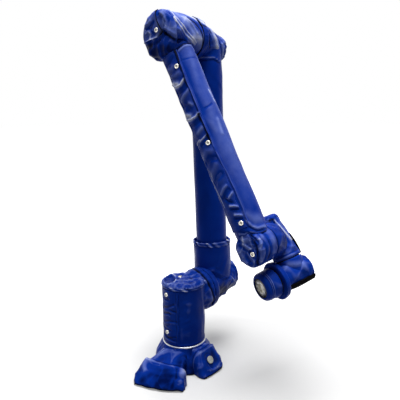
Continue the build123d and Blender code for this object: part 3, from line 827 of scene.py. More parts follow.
sideBoot = {
    "turn": 268, "skew": 0, "bend": 2.2, "grid": (98, 84), "wall": 2.6,
    "sections": [
        (62, 92, 78, 30, 2), (86, 98, 77.5, 28, 3), (95, 102, 75, 26, 3), (98, 108, 74.5, 26, 3),
        (130, 112, 38, 20, 1), (144, 106, 13, 9, 0), (149, 92, 6, 5, -3), (151.5, 74, 2.5, 2, -5)],
    "seam": 2, "step": 2.6,
    "folds": [
        (-30, 80, 80, 20, 6, 2.5), (20, 84, 100, 22, 6, 2), (40, 118, 60, 22, 7, 2.0),
        (-40, 112, 120, 22, 7, 2.0), (16, 143, 10, 24, 5, 1.8)],
    "lines": [
        (3.0, 2.0, 0.0, 1, [(48, 92), (53, 93)]), (2.2, 1.0, 0.5, 0, [(-20, 142), (10, 145), (40, 140)])],
    "seed": 33, "loose": 8, "lifted": [(34, 16, 2)],
}
bootCloth = {
    "loose": ((-80, 80), (20, 160), (14, 34), (6, 11), (0.3, 1.0)), "crumple": (85, 1.4, 0.3),
    "port": (19, 14.5, 4), "bentFrom": 0.7, "run": 4, "settled": 30, "kept": 0.35, "groove": (-1, 2.8, 1.2),
    "lip": (6, 2.5, 0.7), "steepest": 2.5, "hem": 20, "edge": (4, 1), "shadowEdge": 3, "lift": 2,
    "floor": (1.2, 0.8),
}


def archSection(width, height, rounding, centre, count):
    # half-open arch: up one side, over the rounded top and down the other
    left = centre - width / 2
    right = centre + width / 2
    corners = [(left, 0, 0), (left, height, rounding), (right, height, rounding), (right, 0, 0)]
    return roundedLine(corners, count)[0]


def makeBoot(node, user, cloth=bootCloth):
    # arched sections carried outwards and bent back at the sides, with a stepped seam, folds and a hem
    # lifted in places
    cols, rows = user["grid"]
    keys = np.array(user["sections"], float)
    arches = np.array([archSection(*section, cols) for section in keys[:, 1:]])
    run = runAlong(keys[:, [0, 2]])
    even = np.linspace(0, run[-1], rows)
    at = np.clip(np.searchsorted(run, even) - 1, 0, len(keys) - 2)
    share = ((even - run[at]) / (run[at + 1] - run[at]))[:, None, None]
    arch = arches[at] * (1 - share) + arches[at + 1] * share
    side = arch[..., 0]
    rise = arch[..., 1]
    reach = np.repeat(np.interp(even, run, keys[:, 0])[:, None] * mm, cols, axis=1)
    seamAt = keys[user["seam"], 0] * mm
    end = keys[-1, 0] * mm
    askew = side * np.tan(np.radians(user["skew"])) * smooth(reach, seamAt, end)
    bent = user["bend"] * side ** 2 * smooth(reach, cloth["bentFrom"] * seamAt, seamAt)
    out = reach - askew - bent
    across, *spans = cloth["loose"]
    loose = looseFolds(user["seed"], user["loose"], across, (keys[0, 0], keys[-1, 0]), *spans)
    drawn, tone, black = drawnLines(side, reach, user["lines"])
    length, high, shade = cloth["crumple"]
    height, creases = crumple(np.stack([reach, side, rise], axis=-1), user["seed"] + 1, length)
    lift = foldLift(side, reach, np.vstack([user["folds"], loose])) + high * mm * height + drawn
    tone += shade * creases
    # level spot under the round port: middle of its box, turned into the boot's own reach and side
    turn = np.radians(user["turn"])
    spread = np.array([[np.cos(turn), np.sin(turn), 0], [-np.sin(turn), np.cos(turn), 0], [0, 0, 1]])
    portReach, portSide, _ = spread @ (sum(np.array(corner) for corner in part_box("side_port")) / 2)
    clear, flat, deep = np.array(cloth["port"]) * mm
    level = smooth(np.hypot(reach - portReach, side - portSide), clear, flat)
    lift = lift * (1 - level) - deep * level
    # the outer panel's edge stands proud of the inner one and settles again further out
    past = seamAt + cloth["run"] * mm
    step = user["step"] * mm * smooth(reach, seamAt, past)
    lift += step * (cloth["kept"] + (1 - cloth["kept"]) * smooth(reach, seamAt + cloth["settled"] * mm, past))
    # painted shade along the seam's step and a painted highlight a little further out
    for (place, width, shade), sign in ((cloth["groove"], -1), (cloth["lip"], 1)):
        tone += sign * shade * bell(reach, seamAt + place * mm, width * mm)
    tangentSide = np.gradient(side, axis=1)
    tangentRise = np.gradient(rise, axis=1)
    size = np.maximum(np.hypot(tangentSide, tangentRise), tiny)
    fall = -np.gradient(rise, axis=0) / np.maximum(np.gradient(reach, axis=0), tiny / mm)
    normalRise = tangentSide / size
    outward = np.clip(fall, 0, cloth["steepest"]) * np.maximum(normalRise, 0)
    normal = np.stack([outward, -tangentRise / size, normalRise], axis=-1)
    normal /= np.linalg.norm(normal, axis=-1, keepdims=True)
    hemLift = sum(high * mm * bell(side, place * mm, wide * mm) for place, wide, high in user["lifted"])
    hem = hemLift * smooth(reach, end - cloth["hem"] * mm, end)
    places = np.stack([out, side, rise + hem], axis=-1)
    sheets = []
    for inward, floor in zip((0, user["wall"] * mm), cloth["floor"]):
        sheet = (places + normal * (lift - inward)[..., None]) @ spread
        sheet[..., 2] = np.maximum(sheet[..., 2] + cloth["lift"] * mm, floor * mm)
        sheets.append(sheet)
    # painted shadow: black along the hem's last few millimetres and along the outer panel's floor line
    start, stop = end - np.array(cloth["edge"]) * mm
    foot = bell(rise, 0.0, cloth["shadowEdge"] * mm) * (reach > seamAt)
    black = np.maximum(black, np.maximum(smooth(reach, start, stop), foot))
    fold = shaded(foldShade(lift + deep * level - step), tone)
    # rows run outwards and columns across, so the grid is turned over to face out
    addSlab(node + "_cloth", "base", [node], "jacket", *sheets,
            np.stack([side + rise, reach], axis=-1), fold, black, flip=True)


makeSkirt(skirt)
makeBoot("front_boot", frontBoot)
makeBoot("side_boot", sideBoot)
print("base dressed")

# Shoulder: cover, cap, hem, neck and closing strip
shoulderCover = {
    "corners": [
        (60, 90.3, 0), (75, 90.3, 2), (77.2, 93, 2), (77.2, 97, 1.5), (75.8, 100, 1), (76, 200, 40),
        (76, 303, 1), (60, 303, 0)],
    "grid": (198, 114), "girth": 76, "tone": -0.12,
    "folds": [
        (260, 120, 80, 50, 10, 1.2), (285, 250, 100, 60, 10, 1.4), (215, 170, 92, 70, 8, 1.2),
        (235, 230, 96, 60, 14, 1.0)],
    "loose": [
        (41, 26, (0, 360), (100, 300), (70, 110), (24, 60), (6, 12), (0.3, 0.9)),
        (42, 10, (205, 240), (110, 290), (-20, 30), (12, 26), (4, 8), (0.4, 1.0))],
    "uneven": (43, 110, 0.5),
}
shoulderCap = {
    "corners": [
        (0.5, 302.8, 0), (72, 302.8, 1), (75.5, 304, 2), (75.8, 310, 3), (68, 316, 7), (30, 316.5, 20),
        (0.5, 316.5, 0)],
    "grid": (182, 68), "girth": 76, "dip": (-32, 37, 20, 42, 8), "dipTurn": -45, "seed": 51,
    "crush": (48, 1.3, 0.18), "top": (309, 315),
    "loose": (12, (-70, 70), (-70, 70), (0, 180), (16, 40), (3.5, 7), (0.6, 1.8)),
    "hollow": (1.15, 0.75, 0.7), "rim": (1.12, 0.16, 2), "lit": (0.35, 0.4), "snap": (7, 22, 11),
    "gather": (1.2, 40, 50, 70), "tone": 0.15, "sideTone": 0.7, "foldHeight": 3.0,
}
capHem = {
    "inner": 75.6, "outer": 79.0, "low": 299.0, "high": 308.5, "grid": (320, 20), "seed": 61, "waves": 13,
    "wave": 1.3,
}
shoulderNeck = {
    "corners": [(30, 20, 0), (62, 22, 2), (70, 50, 8), (79.5, 84, 3), (78.5, 86, 1), (40, 86, 0)],
    "grid": (182, 60), "girth": 74,
    "folds": [
        (100, 42, 60, 30, 8, 3), (120, 40, 80, 26, 7, 3), (80, 46, 110, 26, 8, 3), (140, 46, 100, 26, 7, 2),
        (190, 60, 90, 20, 8, 2)],
    "lines": [
        (4.2, -2.5, -0.8, 1.0, [(56, 84), (76, 78), (98, 70), (122, 66), (156, 68), (196, 80), (215, 84)]),
        (3.2, 2.0, 0.5, 0, [(56, 78), (76, 71), (98, 63), (122, 59), (156, 61), (196, 73)]),
        (12.0, 1.0, -0.4, 0, [(98, 80), (122, 78), (156, 79)])],
    "crumple": (73, 70, 1.4, 0.35),
    "loose": [(71, 26, (0, 360), (30, 82), (40, 140), (12, 30), (4, 8), (0.6, 1.8))],
    "uneven": (72, 80, 0.8),
}
shoulderStrip = {
    "from": 152, "to": 209, "low": 94, "high": 294, "inner": 76.2, "outer": 79.0, "grid": (54, 144),
    "seed": 81, "tone": -0.05,
    "lines": [
        (2.0, 0.8, 0.2, 0, [(206.5, 96), (206.5, 292)]), (1.8, -0.8, -0.6, 0, [(203, 96), (203, 292)])],
    "pleats": {"from": 104, "to": 268, "step": 19, "slant": (-22, 14), "rise": 2.2},
    "lap": (2.2, 0.82, 0.6, 0.4, 60),
}
shoulderSnaps = {"angle": 174, "rises": (137.5, 278.8), "radius": 79.0, "cap": (7, 22, 315.6)}


def makeCap(user):
    # low drum whose flat top is crumpled by random folds, with one oval hollow
    cover = turnedCover(baseAxis, user)
    x, y = facePlaces(cover)
    top = smooth(cover["height"], *np.array(user["top"]) * mm)
    length, high, shade = user["crush"]
    height, creases = crumple(settle(cover), user["seed"] + 1, length)
    lift = (foldLift(x, y, looseFolds(user["seed"], *user["loose"])) + high * mm * height) * top
    dx, dy, wide, tall, deep = np.array(user["dip"]) * mm
    turn = np.radians(user["dipTurn"])
    p = ((x - dx) * np.cos(turn) + (y - dy) * np.sin(turn)) / wide
    q = ((y - dy) * np.cos(turn) - (x - dx) * np.sin(turn)) / tall
    outside, inside, dark = user["hollow"]
    hollow = smooth(np.hypot(p, q), outside, inside)
    rimAt, rimWide, rimRise = user["rim"]
    rim = bell(np.hypot(p, q), rimAt, rimWide)
    even, turned = user["lit"]
    lit = even + turned * np.cos(np.arctan2(q, p))
    lift += (-deep * hollow + rimRise * mm * rim) * top
    snapX, snapY, snapWide = np.array(user["snap"]) * mm
    lift = lift * (1 - bell(np.hypot(x - snapX, y - snapY), 0, snapWide))
    rise, count, low, far = user["gather"]
    edge = (1 - top) * smooth(cover["radius"], low * mm, far * mm)
    lift += rise * mm * gathers(cover["angle"], user["seed"] + 2, count) * edge
    # painted shade in the oval hollow, painted light on its rim that is stronger on one side, and the rounded
    # side painted lighter than the top
    face = (user["tone"] - dark * hollow + lit * rim + shade * creases) * top
    fold = shaded(foldShade(lift, user["foldHeight"]) * (1 - hollow), face, user["sideTone"] * (1 - top))
    addCover("shoulder_cap", "shoulder", cover, settle(cover, lift), fold)


ruffled = {
    "slant": 0.13, "waves": 5, "change": (0.75, 0.6, 9), "square": 0.7, "outside": -0.2, "edge": 0.6,
    "groove": (0.15, 0.22, 1.1, 0.8), "map": 0.6, "tone": (1.5, 0.65), "swell": (5, 3),
}


def ruffle(node, body, axis, user, cloth=ruffled):
    # gathered hem: an oval section carried round, its outside rippled and its edges wandering up and down
    cols, rows = user["grid"]
    angle, around = np.meshgrid(*(np.linspace(0, full, count, endpoint=False) for count in (cols, rows)))
    middle = (user["inner"] + user["outer"]) / 2 * mm
    thick = (user["outer"] - user["inner"]) / 2 * mm
    height = (user["low"] + user["high"]) / 2 * mm
    tall = (user["high"] - user["low"]) / 2 * mm
    c, s = np.cos(around), np.sin(around)
    even, more, count = cloth["change"]
    ripple = gathers(angle + cloth["slant"] * s, user["seed"], user["waves"], cloth["waves"])
    ripple = ripple * (even + more * gathers(angle, user["seed"] + 2, count))
    part, least = cloth["swell"]
    swell = gathers(angle, user["seed"] + 1, max(user["waves"] // part, least))
    squareC, squareS = (np.sign(value) * np.abs(value) ** cloth["square"] for value in (c, s))
    wave = user["wave"] * mm
    at, wide, deep, dark = cloth["groove"]
    groove = bell(s, at, wide) * (c > 0)
    radius = middle + thick * squareC + wave * ripple * (c > cloth["outside"]) - deep * mm * groove
    rise = height + tall * squareS + wave * (cloth["edge"] * ripple + swell) * s
    points = axis["o"] + radius[..., None] * roundWay(axis, angle) + rise[..., None] * axis["z"]
    # painted light on the ripples' crests, painted shade in their troughs and in the groove, and the whole
    # hem painted lighter
    strong, tone = cloth["tone"]
    fold = shaded(ripple * strong, -dark * groove, tone)
    addHoop(node, body, points, np.stack([angle * middle, around * tall * cloth["map"]], axis=-1),
            fold, np.zeros_like(fold))


pleated = {
    "place": (-0.3, 0.3), "left": (-0.2, 0.9), "right": (0.3, 0.95), "bow": (-6, 6), "share": (0.35, 1.15),
    "hollow": (0.25, 0.4), "ridge": (3.4, 0.6), "valley": (4.6, -1.0),
}


def pleatLines(user, draws=pleated):
    # pleats across a strip: at each step a ridge and the hollow after it, with seeded changes of place;
    # each ridge carries a painted highlight and each hollow painted shade
    pleats = user["pleats"]
    rng = np.random.default_rng(user["seed"] + 3)
    middle = (user["from"] + user["to"]) / 2
    half = (user["to"] - user["from"]) / 2
    lines = []
    for start in np.arange(pleats["from"], pleats["to"], pleats["step"]):
        at = start + rng.uniform(*draws["place"]) * pleats["step"]
        drop = rng.uniform(*pleats["slant"])
        left = middle + half * rng.uniform(*draws["left"])
        right = middle - half * rng.uniform(*draws["right"])
        bow = rng.uniform(*draws["bow"])
        share = rng.uniform(*draws["share"])
        hollow = rng.uniform(*draws["hollow"]) * pleats["step"]
        for shift, (width, side) in ((0, draws["ridge"]), (hollow, draws["valley"])):
            route = [(left, at + shift), (middle, at + shift + drop / 2 + bow), (right, at + shift + drop)]
            lines.append((width, side * share * pleats["rise"], side * share, 0, route))
    return lines


stripCloth = {
    "loose": (16, (-40, 40), (10, 22), (5, 9), (0.3, 0.9)), "snap": 12, "border": 12, "deepest": 0.85,
    "under": 0.6, "waves": ((1.6, 95), (1.0, 170)), "wavy": (0.6, 1.0),
}


def makeStrip(node, body, axis, user, snaps, cloth=stripCloth):
    # closing strip: a patch of a cylinder with puckers across it, flat under each snap, its lap edge lifted
    cols, rows = user["grid"]
    degrees, rises = np.meshgrid(np.linspace(user["from"], user["to"], cols),
                                 np.linspace(user["low"], user["high"], rows))
    angle = np.radians(degrees)
    height = rises * mm
    radius = user["outer"] * mm
    across = angle * radius
    wide = (user["from"] * np.pi / 180 * user["outer"], user["to"] * np.pi / 180 * user["outer"])
    count, *spans = cloth["loose"]
    extra = looseFolds(user["seed"], count, wide, (user["low"], user["high"]), *spans)
    lines = user["lines"] + (pleatLines(user) if "pleats" in user else [])
    drawn, tone, black = drawnLines(across, height, lines, user["outer"])
    lift = foldLift(across, height, extra) + drawn
    for rise in snaps["rises"]:
        away = np.hypot(across - np.radians(snaps["angle"]) * radius, height - rise * mm)
        lift = lift * (1 - bell(away, 0, cloth["snap"] * mm))
    edge = np.repeat(np.linspace(0, 1, cols)[None, :], rows, axis=0)
    proud, start, even, change, pace = user["lap"]
    lap = proud * mm * smooth(edge, start, 1.0) * (even + change * np.sin(height * pace))
    border = np.minimum(np.minimum(edge, 1 - edge) * cloth["border"], 1)
    lift = np.maximum(lift * border, -(user["outer"] - user["inner"]) * mm * cloth["deepest"])
    (rise, pace), (fineRise, finePace) = cloth["waves"]
    wave = rise * mm * np.sin(height * pace + user["seed"]) + fineRise * mm * np.sin(height * finePace)
    side = 2 * edge - 1
    way = roundWay(axis, angle + wave / radius * side * smooth(np.abs(side), *cloth["wavy"]))
    along = axis["o"] + height[..., None] * axis["z"]
    outer = along + (radius + lift + lap)[..., None] * way
    inner = along + (user["inner"] * mm + cloth["under"] * lap)[..., None] * way
    # fold tone: painted shade and highlight from the puckers and drawn lines, with the strip's own tone
    # painting it lighter or darker
    fold = shaded(foldShade(lift - drawn), tone, user["tone"])
    addSlab(node + "_cloth", body, [node], "jacket", outer, inner,
            np.stack([across, height], axis=-1), fold, black)


snapCap = {
    "line": [
        (7.6, -1.5), (7.6, 0.6), (7.2, 1.6), (6.0, 2.5), (4.6, 2.6), (3.8, 2.1), (3.3, 1.2), (2.0, 1.0),
        (0.9, 1.5), (0.3, 1.6)],
    "dark": [0, 0, 0, 0, 0, 0.5, 1, 1, 0.3, 0.2], "poles": (0, 0.2), "around": 36, "proud": 0.3,
}


def makeSnaps(name, body, node, places, user=snapCap):
    # all snaps of one body as one mesh; each is a line turned from its rim over a bead to a sunk centre
    radius, height = np.array(user["line"]).T[..., None, None] * mm
    angle = np.linspace(0, full, user["around"], endpoint=False)
    dark = np.concatenate([np.repeat(user["dark"], user["around"]), user["poles"]])
    parts = []
    for number, (place, out, turn) in enumerate(places):
        axis = axisFrame(place, turn, out)
        points = axis["o"] + radius * roundWay(axis, angle) + height * axis["z"]
        parts.append(poledGrid(points, number * len(dark)))
    spots, quads, triangles = (np.vstack(layer) for layer in zip(*parts))
    addPiece(name, body, [node], "snap_metal", spots, quads, triangles,
             spots[:, :2], np.zeros(len(spots)), np.tile(dark, len(places)))


def snapPlaces(axis, user):
    # places of a strip's snaps, each with its way out and the way along
    way = roundWay(axis, np.radians(user["angle"]))
    out = axis["o"] + way * (user["radius"] + snapCap["proud"]) * mm
    return [(out + axis["z"] * rise * mm, way, axis["z"]) for rise in user["rises"]]


plainCover("shoulder_cover", "shoulder", baseAxis, shoulderCover)
makeCap(shoulderCap)
ruffle("shoulder_cap_hem", "shoulder", baseAxis, capHem)
plainCover("shoulder_neck", "shoulder", shoulderAxis, shoulderNeck)
makeStrip("shoulder_strip", "shoulder", baseAxis, shoulderStrip, shoulderSnaps)
makeSnaps("shoulder_snap_caps", "shoulder", "shoulder_snaps",
          snapPlaces(baseAxis, shoulderSnaps) + [(np.array(shoulderSnaps["cap"]) * mm, wayZ, wayX)])
print("shoulder dressed")

# Upper arm: joint band, cover, lid, cuff with its hem, and the long sleeve
shoulderBand = {
    "corners": [(40, 90.3, 0), (79, 90.3, 1.5), (80, 92, 1), (80, 112, 6), (74, 118.3, 3), (40, 118.3, 0)],
    "grid": (198, 38), "girth": 80, "tone": -0.4, "folds": [(150, 104, 60, 30, 6, 0.8)],
    "loose": [(91, 30, (0, 360), (92, 116), (-30, 30), (12, 34), (3, 6), (0.2, 0.8))],
    "uneven": (92, 90, 0.4),
}
shoulderFar = {
    "corners": [(40, 117, 0), (70, 118, 3), (70, 124, 3), (61, 246, 10), (40, 247, 0)], "grid": (182, 98),
    "girth": 68, "lean": 15, "leanEnds": (118, 246),
    "lines": [
        (2.2, 2.0, 1.3, 0, [(112, 156), (137, 168), (150, 194), (170, 212), (184, 220)]),
        (3.0, -1.5, -0.8, 0, [(112, 163), (139, 174), (154, 199), (172, 218), (186, 226)]),
        (24.0, 0.0, -0.8, 0, [(176, 140), (196, 164), (212, 200), (214, 236)]),
        (7.0, 2.5, 0.5, 0, [(120, 200), (140, 220), (160, 240)])],
    "folds": [(225, 190, 60, 40, 9, 3), (250, 225, 70, 36, 8, 3), (215, 150, 75, 36, 8, 2)],
    "loose": [(95, 26, (120, 330), (130, 245), (0, 180), (16, 40), (4, 8), (0.5, 1.8))],
    "uneven": (96, 90, 1.0), "crumple": (99, 90, 1.4, 0.12),
}
shoulderLid = {
    "corners": [(0.5, 240, 0), (58, 243, 2), (61, 247, 3), (61, 254, 8), (52, 267, 14), (0.5, 269, 0)],
    "grid": (152, 54), "girth": 61, "calm": (0.75, 1.0), "crumple": (100, 60, 1.6, 0.3),
    "folds": [(200, 252, 10, 50, 5, 2)],
    "loose": [(97, 22, (0, 360), (244, 266), (0, 180), (12, 30), (4, 8), (0.5, 1.6))],
    "uneven": (98, 70, 0.8),
}
upperCuff = {
    "corners": [
        (30, 20, 0), (66, 26, 8), (70.5, 50, 20), (70.5, 130, 20), (70.5, 159, 1), (62, 162, 1),
        (40, 162, 0)],
    "grid": (190, 84), "girth": 70.5,
    "folds": [
        (215, 70, 30, 30, 6, 1.6), (235, 60, -30, 30, 6, 1.6), (190, 62, 20, 30, 6, 1.4),
        (260, 80, 60, 30, 8, 1.4)],
    "loose": [(101, 24, (0, 360), (40, 150), (40, 140), (16, 44), (5, 10), (0.3, 1.0))],
    "uneven": (102, 100, 0.6),
}
cuffHem = {
    "inner": 66, "outer": 72.4, "low": 160.0, "high": 175.0, "grid": (350, 22), "seed": 111, "waves": 17,
    "wave": 2.0,
}
upperSleeve = {
    "corners": [
        (30, 158, 0), (57.5, 160, 1), (58, 200, 20), (58, 500, 20), (58, 800, 20), (57, 890, 10),
        (30, 900, 0)],
    "grid": (144, 160), "girth": 58, "tone": -0.12,
    "lines": [
        (2.2, 2.0, 1.5, 0, [(196, 838), (222, 836), (250, 838), (276, 828)]),
        (3.0, -1.5, -0.9, 0.2, [(196, 831), (222, 829), (250, 831), (276, 821)])],
    "loose": [
        (121, 18, (0, 360), (180, 820), (75, 105), (60, 150), (9, 15), (0.3, 0.8)),
        (122, 10, (0, 360), (740, 860), (30, 150), (20, 50), (7, 11), (0.4, 1.0))],
    "uneven": (123, 160, 0.5),
}
elbowBand = {
    "corners": [
        (40, -88.7, 0), (70, -88.7, 1.5), (71, -86, 1), (71, -64, 3), (67, -58.7, 3), (40, -58.7, 0)],
    "grid": (182, 54), "girth": 71, "tone": -0.15,
    "lines": [
        (15.0, 1.5, 2.2, 0, [(112, -86), (118, -72), (122, -60)]),
        (10.0, 0.5, 2.0, 0, [(136, -84), (140, -70), (142, -60)]),
        (1.8, 2.0, 0.8, 0, [(122, -87), (130, -72), (138, -60)]),
        (2.2, -1.0, -1.6, 0.7, [(149, -88), (151, -72), (153, -60)]),
        (2.4, 0.0, -0.2, 1.0, [(50, -88), (110, -88), (160, -88), (210, -88), (245, -88)])],
    "loose": [(131, 12, (60, 240), (-86, -62), (0, 180), (10, 24), (3, 6), (0.3, 0.9))],
    "uneven": (132, 80, 0.5),
}
elbowFar = {
    "corners": [(40, -60, 0), (62, -59, 3), (62.5, -50, 4), (50, 52, 10), (40, 53, 0)], "grid": (174, 92),
    "girth": 60, "lean": -22, "leanEnds": (-58, 52),
    "lines": [
        (15.0, 4.5, 1.7, 0, [(150, -24), (176, -12), (198, 0), (220, 16), (240, 32)]),
        (3.0, -4.0, -1.6, 0.2, [(166, 14), (184, 20), (204, 28), (228, 44)]),
        (9.0, 3.5, 1.5, 0, [(172, 34), (200, 42), (222, 50)]),
        (2.4, -2.5, -0.5, 1.0, [(174, 17), (184, 21), (192, 25)]),
        (3.0, -2.0, -0.5, 1.0, [(146, -54), (170, -51), (190, -47), (206, -42)]),
        (3.0, 1.0, 0.0, 1.0, [(150, -40), (160, -38)]),
        (6.0, -3.0, -0.6, 0, [(236, -30), (250, -6), (262, 24)])],
    "loose": [(141, 14, (90, 300), (-45, 50), (60, 120), (18, 40), (5, 9), (0.5, 1.6))],
    "uneven": (142, 90, 0.8), "crumple": (143, 60, 0.8, 0.15),
}
elbowFarLid = {
    "corners": [(0.5, 46, 0), (47, 50, 2), (50.5, 53, 3), (50, 60, 8), (40, 73, 13), (0.5, 75, 0)],
    "grid": (136, 54), "girth": 50, "tone": 0.5, "calm": (0.75, 1.0), "crumple": (147, 50, 1.6, 0.4),
    "folds": [(180, 60, 60, 30, 5, 2.5), (150, 62, 30, 30, 5, 2.5), (215, 62, 100, 30, 5, 2)],
    "loose": [(145, 22, (0, 360), (50, 72), (0, 180), (10, 26), (4, 7), (0.6, 1.6))],
    "uneven": (146, 60, 0.8),
}


def leaning(user):
    # the far ring of a cover sits higher or lower than the near one
    low, high = user["leanEnds"]
    return lambda cover: -dropped(
        user["lean"] * mm * np.clip((cover["height"] - low * mm) / ((high - low) * mm), 0, 1))


def leant(user):
    # a lid goes all the way with the far ring of its cover
    return lambda cover: -dropped(user["lean"] * mm * np.ones_like(cover["height"]))


plainCover("shoulder_joint_band", "upper_arm", shoulderAxis, shoulderBand)
plainCover("shoulder_joint_cover", "upper_arm", shoulderAxis, shoulderFar, leaning(shoulderFar))
plainCover("shoulder_joint_lid", "upper_arm", shoulderAxis, shoulderLid, leant(shoulderFar))
plainCover("upper_arm_cuff", "upper_arm", upperAxis, upperCuff)
ruffle("upper_arm_cuff_hem", "upper_arm", upperAxis, cuffHem)
plainCover("upper_arm_sleeve", "upper_arm", upperAxis, upperSleeve)
plainCover("elbow_far_band", "upper_arm", elbowFarAxis, elbowBand)
plainCover("elbow_far_cover", "upper_arm", elbowFarAxis, elbowFar, leaning(elbowFar))
plainCover("elbow_far_lid", "upper_arm", elbowFarAxis, elbowFarLid, leant(elbowFar))
print("upper arm dressed")

# Forearm: elbow cover and lid, long sleeve with its closing strip, neck and first wrist
elbowCover = {
    "corners": [
        (40, -44, 0), (74, -43.5, 2), (75, -40, 2), (73.5, 20, 20), (72, 80, 2), (70.5, 83, 1),
        (40, 83, 0)],
    "grid": (198, 106), "girth": 74,
    "lines": [
        (3.2, 3.2, 1.7, 0, [(145, -44), (156, -43), (171, -32), (185, -6), (197, 26), (204, 44)]),
        (9.0, 0.0, 0.7, 0, [(118, -40), (146, -40), (164, -28), (178, -6), (194, 30)]),
        (2.6, 2.0, 1.4, 0, [(105, -30), (117, -34), (139, -39), (157, -27), (173, -5), (188, 23), (199, 48)]),
        (24.0, 0.0, 1.5, 0, [(96, -6), (128, -8), (150, 14), (174, 38), (192, 58)]),
        (2.6, -1.0, -1.2, 1.0, [(112, 2), (130, 26), (146, 56), (167, 70), (185, 78), (214, 82), (245, 82)]),
        (12.0, 0.5, 2.2, 0, [(104, 36), (118, 52), (132, 76)]),
        (5.0, -7.0, -1.2, 1.0, [(199, -46), (201, -30), (202, -8)]),
        (7.0, -4.0, -1.0, 0.9, [(200, -34), (201, -20)]),
        (6.0, 3.0, 0.1, 0, [(176, -42), (188, -18), (202, 14)]),
        (5.0, 2.5, 0.4, 0, [(120, 10), (150, 30), (176, 50)]),
        (4.0, -2.0, -0.6, 0, [(215, 10), (222, 34), (232, 60)])],
    "folds": [
        (222, -10, 40, 30, 7, 3), (240, -20, 20, 36, 8, 3), (150, 30, 60, 40, 10, 2),
        (260, 20, 30, 36, 8, 2.5)],
    "loose": [(151, 14, (60, 330), (-36, 78), (20, 160), (20, 44), (6, 11), (0.4, 1.4))],
    "uneven": (152, 110, 0.8), "crumple": (153, 90, 1.2, 0.2), "sag": 9, "hang": (60, -20),
    "fade": (20, 0.8),
}
elbowLid = {
    "corners": [(0.5, -58, 0), (40, -58, 15), (66, -57, 9), (74, -46, 4), (73.5, -42.5, 1), (60, -42, 0)],
    "grid": (182, 76), "girth": 74, "seed": 161, "loose": 7, "crush": (80, 1.8, 0.4), "tone": 0.5, "sag": 9,
    "snaps": [],
    "lines": [
        (4.5, -5.0, -1.1, 1.0, [(-27, 0), (-46, -10), (-66, -22)]),
        (8.0, -3.0, -0.9, 0, [(56, -32), (25, -28), (-5, -22), (-27, -9)]),
        (5.0, 3.0, 0.5, 0, [(-10, 62), (-28, 50), (-40, 30), (-38, 12)]),
        (5.0, 3.0, 0.3, 0, [(-34, 10), (-50, 2), (-68, -8)]),
        (4.0, -2.0, -0.7, 0, [(18, -70), (-10, -64), (-36, -58)]),
        (18.0, 1.5, -1.6, 0, [(40, -46), (10, -48), (-20, -44), (-44, -44)])],
}
elbowFlap = {
    "lines": [
        (3.0, 2.0, 0.9, 0, [(30, -14), (28, 2), (38, 10), (52, 4)]),
        (5.0, 2.0, 0.4, 0, [(20, 50), (36, 34), (52, 28)]),
        (5.0, -2.0, -0.7, 0, [(14, 36), (34, 18), (56, 14)]),
        (4.0, -1.5, -0.6, 0, [(8, -4), (22, 6), (24, 20)])],
    "edge": [
        (10, 73), (4, 58), (-3, 40), (-14, 20), (-28, 1), (-14, -8), (0, -14), (28, -18), (56, -22),
        (70, -24)],
    "rim": (84, -20), "reach": 75.5, "thick": 3.2, "wall": 2.6, "grid": (92, 34), "tone": 0.5,
    "under": (200, 170), "loose": (168, 26, (-30, 75), (-30, 75), (0, 180), (10, 26), (3.5, 7), (0.6, 2.0)),
    "snap": (2, 10, 12), "lip": (3.0, 0.10, 0.6, 0.4, 9), "shadowEdge": (0.15, 0.62, 0.5), "folded": 0.7,
    "pale": (1.2, 0.05, 0.05), "ledge": (0.3, 0.12, 0.05),
}
forearmSleeve = {
    "corners": [
        (25, 40, 0), (50, 42, 3), (52, 60, 10), (52, 300, 20), (52, 660, 10), (53.5, 671, 2), (52, 675, 1),
        (30, 674, 0)],
    "grid": (130, 220), "girth": 52,
    "folds": [
        (110, 150, 80, 60, 12, 1.4), (120, 330, 82, 90, 12, 1.4), (95, 460, 95, 90, 12, 1.2),
        (75, 250, 95, 90, 12, 1.2)],
    "loose": [(171, 30, (0, 360), (80, 620), (60, 120), (30, 90), (8, 14), (0.3, 0.9))],
    "uneven": (173, 140, 0.5),
    "lines": [
        (3.2, -2.0, -1.0, 0.9, [(142, 78), (110, 66), (72, 62), (56, 76)]),
        (8.0, 0.0, -0.8, 0, [(142, 66), (110, 54), (72, 50)]),
        (3.0, 2.0, 0.9, 0, [(138, 84), (110, 73), (72, 69), (58, 84)]),
        (1.6, -0.8, -0.7, 0, [(150, 118), (110, 116), (70, 114)]),
        (5.0, -2.5, -0.8, 1.0, [(147, 50), (149, 85), (150, 122)]),
        (1.6, 1.5, 1.9, 0, [(231, 378), (222, 430), (214, 486)]),
        (3.5, 1.2, 0.7, 0, [(64, 120), (62, 300), (62, 480), (64, 640)]),
        (3.5, 1.0, 1.2, 0, [(58, 96), (57, 171)]), (4.0, 1.5, 1.3, 0, [(82, 230), (75, 268)]),
        (3.0, -1.2, -0.6, 0, [(129, 288), (112, 284), (95, 277)]),
        (6.0, 1.5, 0.7, 0, [(98, 330), (104, 378)]),
        (3.2, 3.0, 1.1, 0, [(144, 646), (135, 658), (119, 663), (86, 664)]),
        (9.0, 1.0, 0.5, 0, [(140, 632), (120, 645), (92, 648)]),
        (3.0, -2.5, -0.9, 0, [(143, 659), (128, 668), (100, 670)]),
        (9.0, -3.5, -0.2, 0, [(196, 677), (240, 677)]),
        (2.0, 1.2, 0.8, 0, [(146, 673), (120, 674), (88, 674)])],
    "panel": (0.5, 104, 40, 680, 460), "calmEnd": (20, 45), "hang": (27, 58, 84, 188, 116),
    "stretch": (620, 672),
}
